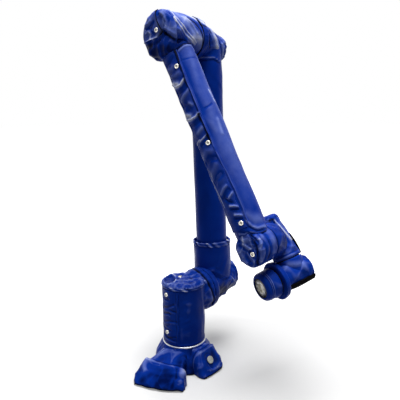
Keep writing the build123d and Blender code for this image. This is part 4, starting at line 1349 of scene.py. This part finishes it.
forearmStrip = {
    "from": 150, "to": 214, "low": 78, "high": 672, "inner": 52.2, "outer": 54.8, "grid": (42, 320),
    "seed": 181, "tone": 0.22, "lap": (1.2, 0.85, 1.0, 0.0, 0.0),
    "lines": [
        (4.4, 4.5, 2.0, 0, [(208, 169), (201, 182), (188, 187), (174, 187), (156, 176)]),
        (8.0, 2.5, 1.7, 0, [(202, 168), (186, 178)]),
        (8.0, -5.0, -1.0, 0, [(206, 201), (196, 202), (172, 204), (157, 198)]),
        (4.4, 4.5, 2.0, 0, [(214, 282), (209, 294), (187, 302), (165, 301), (156, 295)]),
        (8.0, 2.5, 1.7, 0, [(208, 277), (186, 290)]),
        (8.0, -5.0, -1.0, 0, [(213, 312), (203, 315), (178, 319), (161, 316)]),
        (2.6, 3.0, 1.8, 0, [(157, 367), (170, 372), (191, 376)]),
        (5.0, -2.5, -0.8, 0, [(162, 381), (174, 386), (190, 389)]),
        (2.2, 1.5, 1.9, 0, [(190, 370), (204, 374), (214, 380)]),
        (6.0, 2.5, 0.8, 0, [(196, 231), (180, 223), (168, 219), (154, 212)]),
        (5.0, 1.5, 0.6, 0, [(172, 252), (164, 261)]),
        (6.0, 2.0, 0.8, 0, [(184, 349), (172, 345), (163, 342)]),
        (7.0, 2.0, 0.5, 0, [(204, 122), (184, 128), (176, 122)]),
        (7.0, -2.0, -0.6, 0, [(200, 106), (182, 106), (166, 98)]),
        (7.0, 1.5, 0.4, 0, [(198, 146), (182, 152), (166, 148)]),
        (9.0, -2.5, -0.5, 0, [(204, 246), (190, 254), (182, 270)]),
        (5.5, -2.0, -0.5, 1.0, [(153, 171), (154, 184), (153, 197)]),
        (5.0, -2.0, -0.5, 1.0, [(156, 297), (158, 306), (157, 315)]),
        (5.0, -2.0, -0.5, 1.0, [(157, 369), (155, 382), (153, 395)]),
        (1.8, -1.0, -0.7, 0.8, [(153, 80), (153.5, 119), (154, 168)]),
        (1.6, -1.0, -0.6, 0.6, [(154, 200), (155, 292)]), (1.6, -1.0, -0.6, 0.6, [(157, 316), (156, 369)]),
        (9.0, 2.0, 0.3, 0, [(200, 424), (180, 414), (166, 418)]),
        (9.0, -2.5, -0.5, 0, [(200, 446), (180, 436), (162, 444)]),
        (8.0, 2.0, 0.3, 0, [(198, 490), (178, 474), (166, 462)]),
        (8.0, -2.5, -0.5, 0, [(198, 514), (180, 502), (164, 496)]),
        (4.6, 2.5, 0.8, 0, [(190, 552), (175, 541), (162, 535)]),
        (6.0, -2.5, -0.8, 0, [(192, 566), (176, 558), (160, 550)]),
        (3.4, 3.0, 1.0, 0, [(170, 573), (160, 566), (152, 560)]),
        (4.4, -3.0, -1.0, 0, [(182, 572), (174, 580), (166, 588)]),
        (3.6, 3.5, 1.3, 0, [(176, 595), (164, 600), (152, 606)]),
        (4.0, -3.5, -1.1, 0, [(176, 606), (164, 610), (151, 615)]),
        (3.6, 3.5, 1.2, 0, [(172, 625), (162, 629), (152, 634)]),
        (4.0, -3.5, -1.1, 0, [(176, 637), (166, 641), (152, 646)]),
        (1.6, 1.2, 1.9, 0, [(213, 490), (206, 545), (201, 593)])],
}
forearmLap = {
    "path": [(78, 151), (200, 153), (370, 155), (415, 153), (475, 148), (590, 141), (672, 145)], "wide": 9,
    "grid": (10, 320), "proud": (4.4, 3.2, 3.6, 2.6, 1.6, 1.4, 2.0),
    "shadowEdge": (1, 0.8, 1, 0.6, 0.35, 0.1, 0.3), "shadowStart": (0.35, 0.85, 0.6, 0.85, 0.86, 0.86, 0.86),
    "shadowRun": 0.07, "wander": ((0.8, 0.045), (0.5, 0.11)), "girth": 54.5, "seat": 52.5, "least": 0.5,
    "curl": 1.5, "ripple": (0.8, 0.06), "wall": 1.6, "tone": (0.25, 0.25, 0.66, 0.16),
}
forearmSnaps = {
    "angle": 163, "rises": (128, 391.5, 655), "radius": 54.8, "elbow": (-61.3, 2, 10),
    "wrist": (-48.6, -16, -12),
}
forearmNeck = {
    "corners": [(20, 662, 0), (49, 664, 3), (50.5, 680, 8), (49, 700, 8), (41, 735, 6), (20, 736, 0)],
    "grid": (136, 60), "girth": 48,
    "lines": [
        (4.0, 3.0, 1.0, 0, [(186, 684), (168, 690), (152, 686)]),
        (4.0, -3.0, -1.0, 0, [(190, 694), (170, 700), (150, 697)]),
        (3.6, 2.5, 0.8, 0, [(180, 706), (164, 712), (148, 708)])],
    "loose": [(191, 14, (60, 300), (672, 725), (-30, 30), (14, 36), (4, 7), (0.6, 1.6))],
    "uneven": (192, 60, 0.6), "side": 26,
}
wristOneCover = {
    "corners": [
        (30, -35, 0), (52, -34.5, 2), (53.5, -31, 2), (56, 0, 20), (58, 25, 3), (56, 28, 1), (30, 28, 0)],
    "grid": (168, 68), "girth": 56,
    "lines": [
        (6.0, 2.5, 0.35, 0, [(126, -29), (160, -27), (190, -26), (212, -27)]),
        (6.0, -2.5, -0.8, 0, [(110, -15), (150, -12), (180, -12), (206, -16)]),
        (11.0, 2.0, 0.5, 0, [(112, 6), (150, 8), (188, 2)]),
        (2.6, -1.0, -0.3, 1.0, [(90, 26.5), (150, 26.5), (200, 26.5), (250, 26.5)]),
        (2.5, 1.5, 1.6, 0, [(206, 10), (216, 14)])],
    "loose": [(201, 6, (60, 330), (-30, 26), (40, 140), (16, 34), (6, 10), (0.4, 1.2))],
    "uneven": (202, 80, 0.5), "crumple": (203, 70, 1.2, 0.15), "sag": 6, "hang": (20, -20),
    "fade": (20, 0.8),
}
wristOneLid = {
    "corners": [(0.5, -49, 0), (30, -49, 12), (44, -48, 8), (52, -38, 4), (52, -33.5, 1), (40, -33, 0)],
    "grid": (152, 68), "girth": 52, "seed": 211, "loose": 4, "crush": (46, 2.2, 0.6), "tone": 0.2, "sag": 6,
    "snaps": [forearmSnaps["wrist"][1:]],
    "lines": [
        (9.0, 3.0, 0.8, 0, [(38, 12), (22, 24), (6, 24)]), (3.6, 3.0, 1.0, 0, [(18, 14), (4, 8), (-10, 4)]),
        (5.0, -3.0, -0.9, 0, [(24, 4), (8, -4), (-6, -8)]),
        (4.0, -3.5, -1.4, 0.5, [(-6, 44), (-23, 34), (-30, 14), (-34, -13), (-30, -36)]),
        (6.0, 2.5, 0.6, 0, [(34, -8), (18, -22), (2, -34)]),
        (3.0, 1.5, 0.4, 0, [(-36, 34), (-42, 12), (-44, -14), (-38, -32)]),
        (2.4, 1.6, 0.3, 0, [(-10, 49), (-35, 35), (-49, 10), (-49, -12), (-36, -36)])],
}


def hanging(user):
    # fabric hangs lower underneath, more towards the near end
    def shift(cover):
        under = np.maximum(-np.sin(cover["angle"]), 0) * smooth(cover["height"], *np.array(user["hang"]) * mm)
        return dropped(user["sag"] * mm * under)
    return shift


lidCloth = {
    "loose": ((0, 180), (16, 40), (5, 10), (0.5, 1.8)), "face": (1.5, 9), "snap": 12, "under": 0.2,
}


def discLid(node, axis, user, cloth=lidCloth):
    # shallow drum seen flat: drawn lines, loose folds and crumples on its face, level under snaps,
    # hanging at the bottom
    cover = turnedCover(axis, user)
    x, y = facePlaces(cover)
    girth = cover["girth"]
    reach = (-girth / mm, girth / mm)
    drawn, tone, black = drawnLines(x, y, user["lines"])
    folds = looseFolds(user["seed"], user["loose"], reach, reach, *cloth["loose"])
    length, rise, shade = user["crush"]
    height, creases = crumple(settle(cover), user["seed"] + 1, length)
    lift = foldLift(x, y, folds) + rise * mm * height
    face = smooth(cover["height"], *cover["height"].max() - np.array(cloth["face"]) * mm)
    for flatX, flatY in user["snaps"]:
        lift = lift * (1 - bell(np.hypot(x - flatX * mm, y - flatY * mm), 0, cloth["snap"] * mm))
    under = np.maximum(-np.sin(cover["angle"]), 0) * smooth(cover["radius"], cloth["under"] * girth, girth)
    points = settle(cover, (lift + drawn) * face, dropped(user["sag"] * mm * under))
    # fold tone: painted shade and highlight from the folds, crumples and drawn lines, with the lid's own tone
    # painting it lighter
    fold = shaded(foldShade(lift) * face, tone + shade * creases, user["tone"])
    addCover(node, "forearm", cover, points, fold, black)


def makeElbowFlap(user, lid):
    # flap: a patch between a drawn edge and the lid's rim, raised over the lid, its edge lifted, with a
    # painted shadow along part of that edge and a painted highlight along the rest
    cols, rows = user["grid"]
    start, _ = evenLine(np.array(user["edge"], float) * mm, cols)
    turn = np.radians(np.linspace(*user["rim"], cols))
    end = user["reach"] * mm * np.stack([np.cos(turn), np.sin(turn)], axis=1)
    along, inward = np.meshgrid(np.linspace(0, 1, cols), np.linspace(0, 1, rows))
    flat = start * (1 - inward[..., None]) + end * inward[..., None]
    fx = flat[..., 0]
    fy = flat[..., 1]
    count, outside = user["under"]
    line = roundedLine(lid["corners"], count)[0][:outside]
    base = np.interp(np.linalg.norm(flat, axis=-1), line[:, 0], line[:, 1])
    snapX, snapY, snapWide = np.array(user["snap"]) * mm
    level = bell(np.hypot(fx - snapX, fy - snapY), 0, snapWide)
    ripple = foldLift(fx, fy, looseFolds(*user["loose"])) * (1 - level)
    rise, wide, even, change, pace = user["lip"]
    lip = rise * mm * bell(inward, 0.0, wide) * (even + change * np.sin(along * pace))
    drawn, tone, _ = drawnLines(fx, fy, user["lines"])
    over = user["thick"] * mm + ripple + lip + drawn
    sheets = [elbowAxis["o"] + fx[..., None] * elbowAxis["x"] + fy[..., None] * elbowAxis["y"]
              + (base - lift)[..., None] * elbowAxis["z"] for lift in (over, over - user["wall"] * mm)]
    # painted shadow along the lifted edge's first part, a pale painted highlight along the rest, a lighter
    # painted band just inside the edge, and the flap painted lighter overall
    wide, bare, shadowEdge = user["shadowEdge"]
    darkMark = bell(inward, 0.0, wide) * smooth(along, bare, shadowEdge)
    shade, at, width = user["pale"]
    pale = shade * bell(inward, at, width) * smooth(along, shadowEdge, bare)
    shade, at, width = user["ledge"]
    ledge = shade * bell(inward, at, width)
    fold = shaded(user["folded"] * foldShade(ripple), pale, ledge, tone, user["tone"])
    addSlab("elbow_flap_cloth", "forearm", [], "jacket", *sheets, flat, fold, darkMark, flip=True)


def makeForearmSleeve(user):
    # long sleeve; its lower hem hangs further down on the outer side and clears the turning wrist
    cover = turnedCover(forearmAxis, user)
    degrees = np.degrees(cover["angle"])
    loose, creases = puckers(cover, user)
    drawn, tone, black = coverLines(cover, user)
    loose = loose * smooth(cover["radius"], *np.array(user["calmEnd"]) * mm)
    # painted light on the front panel, which faces up towards the key lamp
    shade, middle, wide, low, high = user["panel"]
    panel = shade * bell(degrees, middle, wide) * smooth(cover["height"], low * mm, high * mm)
    drop, start, grown, gone, fading = user["hang"]
    hang = drop * mm * smooth(degrees, start, grown) * smooth(degrees, gone, fading)
    cover["height"] = cover["height"] + hang * smooth(cover["height"], *np.array(user["stretch"]) * mm)
    addCover("forearm_sleeve", "forearm", cover, settle(cover, loose + drawn),
             shaded(foldShade(loose), tone, creases, panel), black)


def makeForearmLap(user):
    # lap edge of the front panel: a narrow lip along a wandering line, its free edge lifted, with painted
    # shadow along that edge and a painted highlight along the lip
    cols, rows = user["grid"]
    path = np.array(user["path"], float)
    share, height = np.meshgrid(np.linspace(0, 1, cols), np.linspace(path[0, 0], path[-1, 0], rows))
    at, proud, shadowStart, shadowEdge = (np.interp(height, path[:, 0], values) for values in (
        path[:, 1], user["proud"], user["shadowStart"], user["shadowEdge"]))
    at = at + sum(size * np.sin(height * pace) for size, pace in user["wander"])
    girth = user["girth"] * mm
    angle = np.radians(at) + (1.0 - share) * -user["wide"] * mm / girth
    size, pace = user["ripple"]
    lift = user["least"] * mm + proud * mm * share ** user["curl"] + size * mm * np.sin(height * pace) * share
    radius = user["seat"] * mm + lift
    way = roundWay(forearmAxis, angle)
    along = forearmAxis["o"] + (height * mm)[..., None] * forearmAxis["z"]
    outer, inner = (along + reach[..., None] * way for reach in (radius, radius - user["wall"] * mm))
    # painted shadow: black along the lifted free edge, heaviest near the elbow
    darkMark = smooth(share - shadowStart, 0.0, user["shadowRun"]) * shadowEdge
    # painted highlight along the lip
    even, shade, middle, wide = user["tone"]
    addSlab("forearm_lap_cloth", "forearm", [], "jacket", outer, inner,
            np.stack([angle * girth, height * mm], axis=-1), even + shade * bell(share, middle, wide), darkMark)


def heldBack(user):
    # the side towards the wrist joint is pressed flat, clear of the turning part
    return lambda cover: np.minimum(user["side"] * mm - facePlaces(cover)[0], 0)[..., None] * forearmAxis["x"]


def lidPlace(axis, place):
    # place of a snap on a lid, with its way out and one way across
    along, x, y = np.array(place) * mm
    return axis["o"] + axis["z"] * along + axis["x"] * x + axis["y"] * y, -axis["z"], axis["x"]


plainCover("elbow_cover", "forearm", elbowAxis, elbowCover, hanging(elbowCover))
discLid("elbow_lid", elbowAxis, elbowLid)
makeElbowFlap(elbowFlap, elbowLid)
makeForearmSleeve(forearmSleeve)
makeStrip("forearm_strip", "forearm", forearmAxis, forearmStrip, forearmSnaps)
makeForearmLap(forearmLap)
plainCover("forearm_neck", "forearm", forearmAxis, forearmNeck, heldBack(forearmNeck))
plainCover("wrist_1_cover", "forearm", wristOneAxis, wristOneCover, hanging(wristOneCover))
discLid("wrist_1_lid", wristOneAxis, wristOneLid)
makeSnaps("forearm_snap_caps", "forearm", "forearm_snaps", snapPlaces(forearmAxis, forearmSnaps) + [
    lidPlace(elbowAxis, forearmSnaps["elbow"]), lidPlace(wristOneAxis, forearmSnaps["wrist"])])
print("forearm dressed")

# Wrists: necks, covers, lids, cuff, tapes and the sleeve round the tool flange
wristTwoNeck = {
    "corners": [
        (20, 32.3, 0), (56, 32.3, 1), (57, 35, 1), (57, 80, 5), (52, 87, 4), (34, 88, 2), (32, 100, 2),
        (20, 112, 0)],
    "grid": (168, 60), "girth": 57, "tone": -0.35,
    "folds": [(150, 60, 80, 30, 8, 1.4), (200, 56, 100, 30, 8, 1.4)],
    "lines": [
        (1.8, 1.2, 0.8, 0, [(60, 83), (130, 83), (200, 83), (260, 83)]),
        (2.0, -1.0, -0.8, 0, [(60, 78), (130, 78), (200, 78), (260, 78)])],
    "loose": [(221, 22, (0, 360), (36, 80), (30, 150), (14, 34), (5, 9), (0.3, 1.2))],
    "uneven": (222, 70, 0.6),
}
wristTwoCover = {
    "corners": [
        (15, -61, 0), (31, -60.5, 1), (32, -57, 1), (39, 10, 20), (46, 70, 1), (46, 74, 1), (20, 74, 0)],
    "grid": (144, 98), "girth": 42, "tone": 0.2,
    "lines": [
        (4.6, 3.0, 1.9, 0, [(122, -52), (110, -20), (96, 8), (88, 24)]),
        (4.0, -2.0, -0.6, 0, [(132, -50), (122, -20), (110, 10)]),
        (1.8, -0.9, -0.7, 0, [(70, 60), (120, 62), (190, 62)]),
        (2.4, 1.2, 0.5, 0, [(70, 66), (120, 68), (190, 68)]),
        (5.0, 0.0, 0.0, 1, [(150, -58), (136, -59), (124, -58)]),
        (6.0, 2.0, 0.2, 0, [(140, 30), (110, 44), (84, 50)])],
    "loose": [(225, 10, (0, 360), (-52, 66), (40, 140), (20, 44), (6, 10), (0.4, 1.2))],
    "uneven": (226, 80, 0.5), "crumple": (227, 80, 1.4, 0.12),
}
wristTwoLid = {
    "corners": [(0.5, -77.5, 0), (19, -77, 8), (30, -68, 6), (30.5, -60, 1), (20, -59.5, 0)],
    "grid": (114, 46), "girth": 30, "calm": (0.7, 1.0), "crumple": (230, 34, 1.0, 0.3),
    "folds": [(140, -70, 40, 20, 4, 2), (100, -72, 100, 20, 4, 2)],
    "loose": [(228, 20, (0, 360), (-76, -62), (0, 180), (8, 20), (3, 5), (0.5, 1.4))],
    "uneven": (229, 40, 0.6),
}
wristThreeNeck = {
    "corners": [(15, 78.3, 0), (45, 78.3, 1), (46, 81, 1), (46, 100, 8), (44, 122, 3), (15, 124, 0)],
    "grid": (152, 60), "girth": 46, "lines": [(9.0, 1.5, 0.7, 0, [(150, 92), (128, 100), (108, 104)])],
    "loose": [(231, 8, (0, 360), (82, 116), (-40, 40), (14, 30), (6, 9), (0.3, 0.8))],
    "uneven": (232, 60, 0.4),
}
wristThreeCover = {
    "corners": [
        (15, -44, 0), (43, -43.5, 1), (44, -41, 1), (44, 0, 10), (44, 54, 1), (44, 58, 1), (15, 58, 0)],
    "grid": (144, 84), "girth": 44,
    "lines": [
        (10.0, 2.5, 0.35, 0, [(150, -24), (120, -14), (86, -20)]),
        (10.0, -2.0, -0.35, 0, [(140, 6), (110, 6), (76, -4)]),
        (9.0, 2.0, 0.3, 0, [(130, 44), (104, 34), (80, 30)])],
    "uneven": (236, 90, 0.4), "crumple": (237, 84, 2.0, 0.18),
}
wristThreeLid = {
    "corners": [(0.5, -57.5, 0), (28, -57, 10), (43, -48, 6), (43.5, -43, 1), (30, -42.5, 0)],
    "grid": (130, 46), "girth": 43, "calm": (0.7, 1.0), "crumple": (240, 44, 1.2, 0.3),
    "folds": [(110, -50, 30, 30, 4, 1.6)],
    "loose": [(238, 20, (0, 360), (-56, -44), (0, 180), (10, 24), (3, 6), (0.4, 1.2))],
    "uneven": (239, 50, 0.6),
}
wristCuff = {
    "corners": [(30, 58.3, 0), (57, 58.3, 1.2), (58.5, 60, 1), (61, 74, 1.2), (59.5, 76, 1), (40, 76, 0)],
    "grid": (182, 46), "girth": 60, "folds": [(60, 66, 10, 30, 4, 1.0)],
    "loose": [(241, 8, (0, 360), (59, 75), (-30, 30), (14, 30), (4, 7), (0.2, 0.6))],
    "uneven": (242, 70, 0.4), "tone": -0.2,
}
flangeSleeve = {
    "corners": [
        (32, 80.5, 0), (45, 80.5, 2), (47.5, 84, 2), (46.5, 105, 8), (45, 122, 6), (41.5, 131, 5),
        (35, 133.8, 4), (30.5, 132.6, 1.2), (30.2, 131.2, 0.4), (32, 126, 0)],
    "grid": (168, 92), "girth": 46, "seed": 251,
    "loose": (14, (0, 289), (84, 126), (30, 150), (16, 34), (5, 9), (0.4, 1.6)), "seams": (113, 118),
    "sunk": (1.5, 1.0, 0.8), "stitched": (-2.5, 1.3, 1.1), "start": (12, 18), "outside": (37, 42),
    "mouth": (33.5, 31.0, 110),
}
wristTwoTape = {
    "low": 2, "high": 74, "inner": 38.2, "innerEnd": 46.4, "angle": 47, "wide": 22, "thick": 5.5,
    "grid": (14, 122),
}
wristThreeTape = {
    "low": -50, "high": 57, "inner": 44.4, "innerEnd": 44.4, "angle": 40, "wide": 26, "thick": 5.5,
    "grid": (14, 152),
}


def makeFlangeSleeve(user):
    # thick-walled sleeve: the line runs up the outside, over the mouth and back in, with two stitched rows,
    # and its last ring joins its first along the bore
    cover = turnedCover(toolAxis, user)
    height = cover["height"]
    outside = smooth(cover["arc"], *np.array(user["start"]) * mm)
    outside = outside * smooth(cover["radius"], *np.array(user["outside"]) * mm)
    across = cover["angle"] * user["girth"] * mm
    folds = looseFolds(user["seed"], *user["loose"])
    lift = foldLift(across, height, folds, full * user["girth"] * mm) * outside
    tone = np.zeros_like(lift)
    # each sunk row is painted darker as shade, with a painted highlight beside it
    width, deep, dark = user["sunk"]
    beside, lineWidth, light = user["stitched"]
    for seam in user["seams"]:
        line = bell(height, seam * mm, width * mm) * outside
        lift -= deep * mm * line
        tone += light * bell(height, (seam + beside) * mm, lineWidth * mm) * outside - dark * line
    # painted shade: black inside the mouth, round the bore
    start, end, above = np.array(user["mouth"]) * mm
    darkMark = smooth(cover["radius"], start, end) * (height > above)
    fold = shaded(foldShade(lift), tone)
    addHoop("flange_sleeve", "wrist_3", settle(cover, lift), clothMap(cover), fold, darkMark)


taped = {"wander": (1.5, 7), "stitch": (0.6, 0.7, 0.12, 1500), "swell": (0.55, 0.6, 0.8), "crown": 0.25}


def makeTape(name, body, node, axis, user, cloth=taped):
    # edge tape: a narrow patch that follows a tapered cover, with a stitched groove near each edge
    cols, rows = user["grid"]
    side, share = np.meshgrid(np.linspace(-1, 1, cols), np.linspace(0, 1, rows))
    height = (user["low"] + (user["high"] - user["low"]) * share) * mm
    inner = (user["inner"] + (user["innerEnd"] - user["inner"]) * share) * mm
    sway, pace = cloth["wander"]
    wander = np.radians(sway) * np.sin(share * pace)
    angle = np.radians(user["angle"]) + side * np.radians(user["wide"] / 2) + wander
    deep, at, width, pace = cloth["stitch"]
    grooves = bell(side, -at, width) + bell(side, at, width)
    stitch = deep * mm * grooves * (0.5 + 0.5 * np.sin(height * pace))
    even, more, power = cloth["swell"]
    swell = even + more * np.sin(np.pi * share) ** power
    crown = user["thick"] * mm * swell * (1 - cloth["crown"] * side ** 2) - stitch
    way = roundWay(axis, angle)
    along = axis["o"] + height[..., None] * axis["z"]
    outer, inside = (along + reach[..., None] * way for reach in (inner + crown, inner))
    addSlab(name, body, [node], "edge_tape", outer, inside, np.stack([angle * inner, height], axis=-1),
            np.zeros_like(side), np.zeros_like(side))


plainCover("wrist_2_neck", "wrist_1", wristOneAxis, wristTwoNeck)
plainCover("wrist_2_cover", "wrist_1", wristTwoAxis, wristTwoCover)
plainCover("wrist_2_lid", "wrist_1", wristTwoAxis, wristTwoLid)
makeTape("wrist_2_edge_tape", "wrist_1", "wrist_2_tape", wristTwoAxis, wristTwoTape)
plainCover("wrist_3_neck", "wrist_2", wristTwoAxis, wristThreeNeck)
plainCover("wrist_3_cover", "wrist_2", toolAxis, wristThreeCover)
plainCover("wrist_3_lid", "wrist_2", toolAxis, wristThreeLid)
plainCover("wrist_3_cuff", "wrist_2", toolAxis, wristCuff)
makeTape("wrist_3_edge_tape", "wrist_2", "wrist_3_tape", toolAxis, wristThreeTape)
makeFlangeSleeve(flangeSleeve)
print("wrists dressed")

# Carried-over nodes get their own finish
for node in frame["record"]["subparts"]:
    if node["material_slot"] != "jacket":
        carried = frame["nodes"][node["node"]]
        carried.data.materials.clear()
        finish = portLook if node["node"] == "side_port" else looks[node["material_slot"]]
        carried.data.materials.append(finish)

# Camera at the photograph's place: turned about the base, then aimed, with a slight roll
camera = {
    "turn": -0.821, "away": 1.488, "high": 0.9007, "yaw": -0.043, "pitch": -0.1969, "roll": -0.012,
    "lens": 39.3, "sensor": 36,
}
stageLight = {
    "key": {"place": (0.0, -0.35, 4.8), "aim": (0.08, -0.1, 0.5), "size": 3.2, "power": 350},
    "fill": {"place": (-2.4, -1.0, 1.5), "aim": (0.1, -0.1, 0.7), "size": 1.6, "power": 3},
    "rim": {"place": (0.5, -2.4, 2.4), "aim": (0.1, -0.1, 0.7), "size": 0.8, "power": 6}, "world": 0.05,
    "floor": (0.28, 0.28, 0.29, 1), "half": 30, "glow": 0.22, "floorLit": (0.58, 0.58, 0.58, 1),
    "centre": (0.12, -0.20, 0), "clear": (0.34, 0.95), "white": (1, 1, 1, 1), "nudge": 1e-4,
}


def standAt(name, data, right, up, ahead, place):
    # object with its own right, up and ahead, at a place
    thing = bpy.data.objects.new(name, data)
    columns = np.stack([right, up, -ahead, place], axis=1)
    thing.matrix_world = Matrix([*columns.tolist(), (0, 0, 0, 1)])
    bpy.context.scene.collection.objects.link(thing)
    return thing


def addCamera(user):
    eye = np.array([np.sin(user["turn"]) * user["away"], -np.cos(user["turn"]) * user["away"], user["high"]])
    heading = user["turn"] + user["yaw"]
    level = np.cos(user["pitch"])
    ahead = np.array([-np.sin(heading) * level, np.cos(heading) * level, np.sin(user["pitch"])])
    right = np.array([np.cos(heading), np.sin(heading), 0])
    up = np.cross(right, ahead)
    c, s = np.cos(user["roll"]), np.sin(user["roll"])
    data = bpy.data.cameras.new("photoCamera")
    data.lens = user["lens"]
    data.sensor_width = user["sensor"]
    ways = (c * right + s * up, c * up - s * right, ahead)
    bpy.context.scene.camera = standAt("photoCamera", data, *ways, eye)


def addLight(name, user, nudge):
    data = bpy.data.lights.new(name, "AREA")
    data.energy = user["power"]
    data.size = user["size"]
    place = np.array(user["place"])
    ahead = unit(np.array(user["aim"]) - place)
    right = unit(np.cross(ahead, wayZ + nudge * wayX))
    standAt(name, data, right, np.cross(right, ahead), ahead, place)


def seenShare(tree):
    # 1 where the camera, a reflection or a clear surface looks, else 0
    rays = tree.nodes.new("ShaderNodeLightPath").outputs
    total = math(tree, "ADD", rays["Is Camera Ray"], rays["Is Glossy Ray"])
    return math(tree, "ADD", total, rays["Is Transmission Ray"], clamp=True)


def addStage(user):
    # pale floor: lit plainly, and for seen rays part glow and part lit, so the shadow stays
    half = user["half"]
    mesh = bpy.data.meshes.new("floor")
    corners = [(-half, -half, 0), (half, -half, 0), (half, half, 0), (-half, half, 0)]
    mesh.from_pydata(corners, [], [(0, 1, 2, 3)])
    floor = bpy.data.objects.new("floor", mesh)
    bpy.context.scene.collection.objects.link(floor)
    look = bpy.data.materials.new("paleFloor")
    look.use_nodes = True
    tree = look.node_tree
    tree.nodes.remove(tree.nodes["Principled BSDF"])
    lit, partLit = (tree.nodes.new("ShaderNodeBsdfDiffuse") for _ in range(2))
    wire(tree, user["floor"], lit.inputs["Color"])
    wire(tree, user["floorLit"], partLit.inputs["Color"])
    place = tree.nodes.new("ShaderNodeTexCoord").outputs["Object"]
    away = vectorMath(tree, "DISTANCE", place, user["centre"])
    glow = tree.nodes.new("ShaderNodeEmission")
    # painted light: the floor's glow is weakest within 0.34 m of a point just off the base and reaches full
    # white beyond 0.95 m, so only the floor near there shows its shadow
    wire(tree, span(tree, away, *user["clear"], user["glow"], 1.0), glow.inputs["Strength"])
    both = tree.nodes.new("ShaderNodeAddShader")
    wire(tree, partLit.outputs[0], both.inputs[0])
    wire(tree, glow.outputs[0], both.inputs[1])
    mix = tree.nodes.new("ShaderNodeMixShader")
    for socket, source in zip(mix.inputs, (seenShare(tree), lit.outputs[0], both.outputs[0])):
        wire(tree, source, socket)
    wire(tree, mix.outputs[0], tree.nodes["Material Output"].inputs["Surface"])
    mesh.materials.append(look)
    world = bpy.data.worlds.new("studio")
    bpy.context.scene.world = world
    world.use_nodes = True
    tree = world.node_tree
    back = tree.nodes["Background"]
    wire(tree, user["white"], back.inputs["Color"])
    wire(tree, span(tree, seenShare(tree), 0, 1, user["world"], 1.0), back.inputs["Strength"])


addCamera(camera)
for title in ("key", "fill", "rim"):
    addLight(title + "Light", stageLight[title], stageLight["nudge"])
addStage(stageLight)
bpy.context.scene.view_settings.view_transform = "Standard"
print("stage set;", triangleCount, "triangles added")
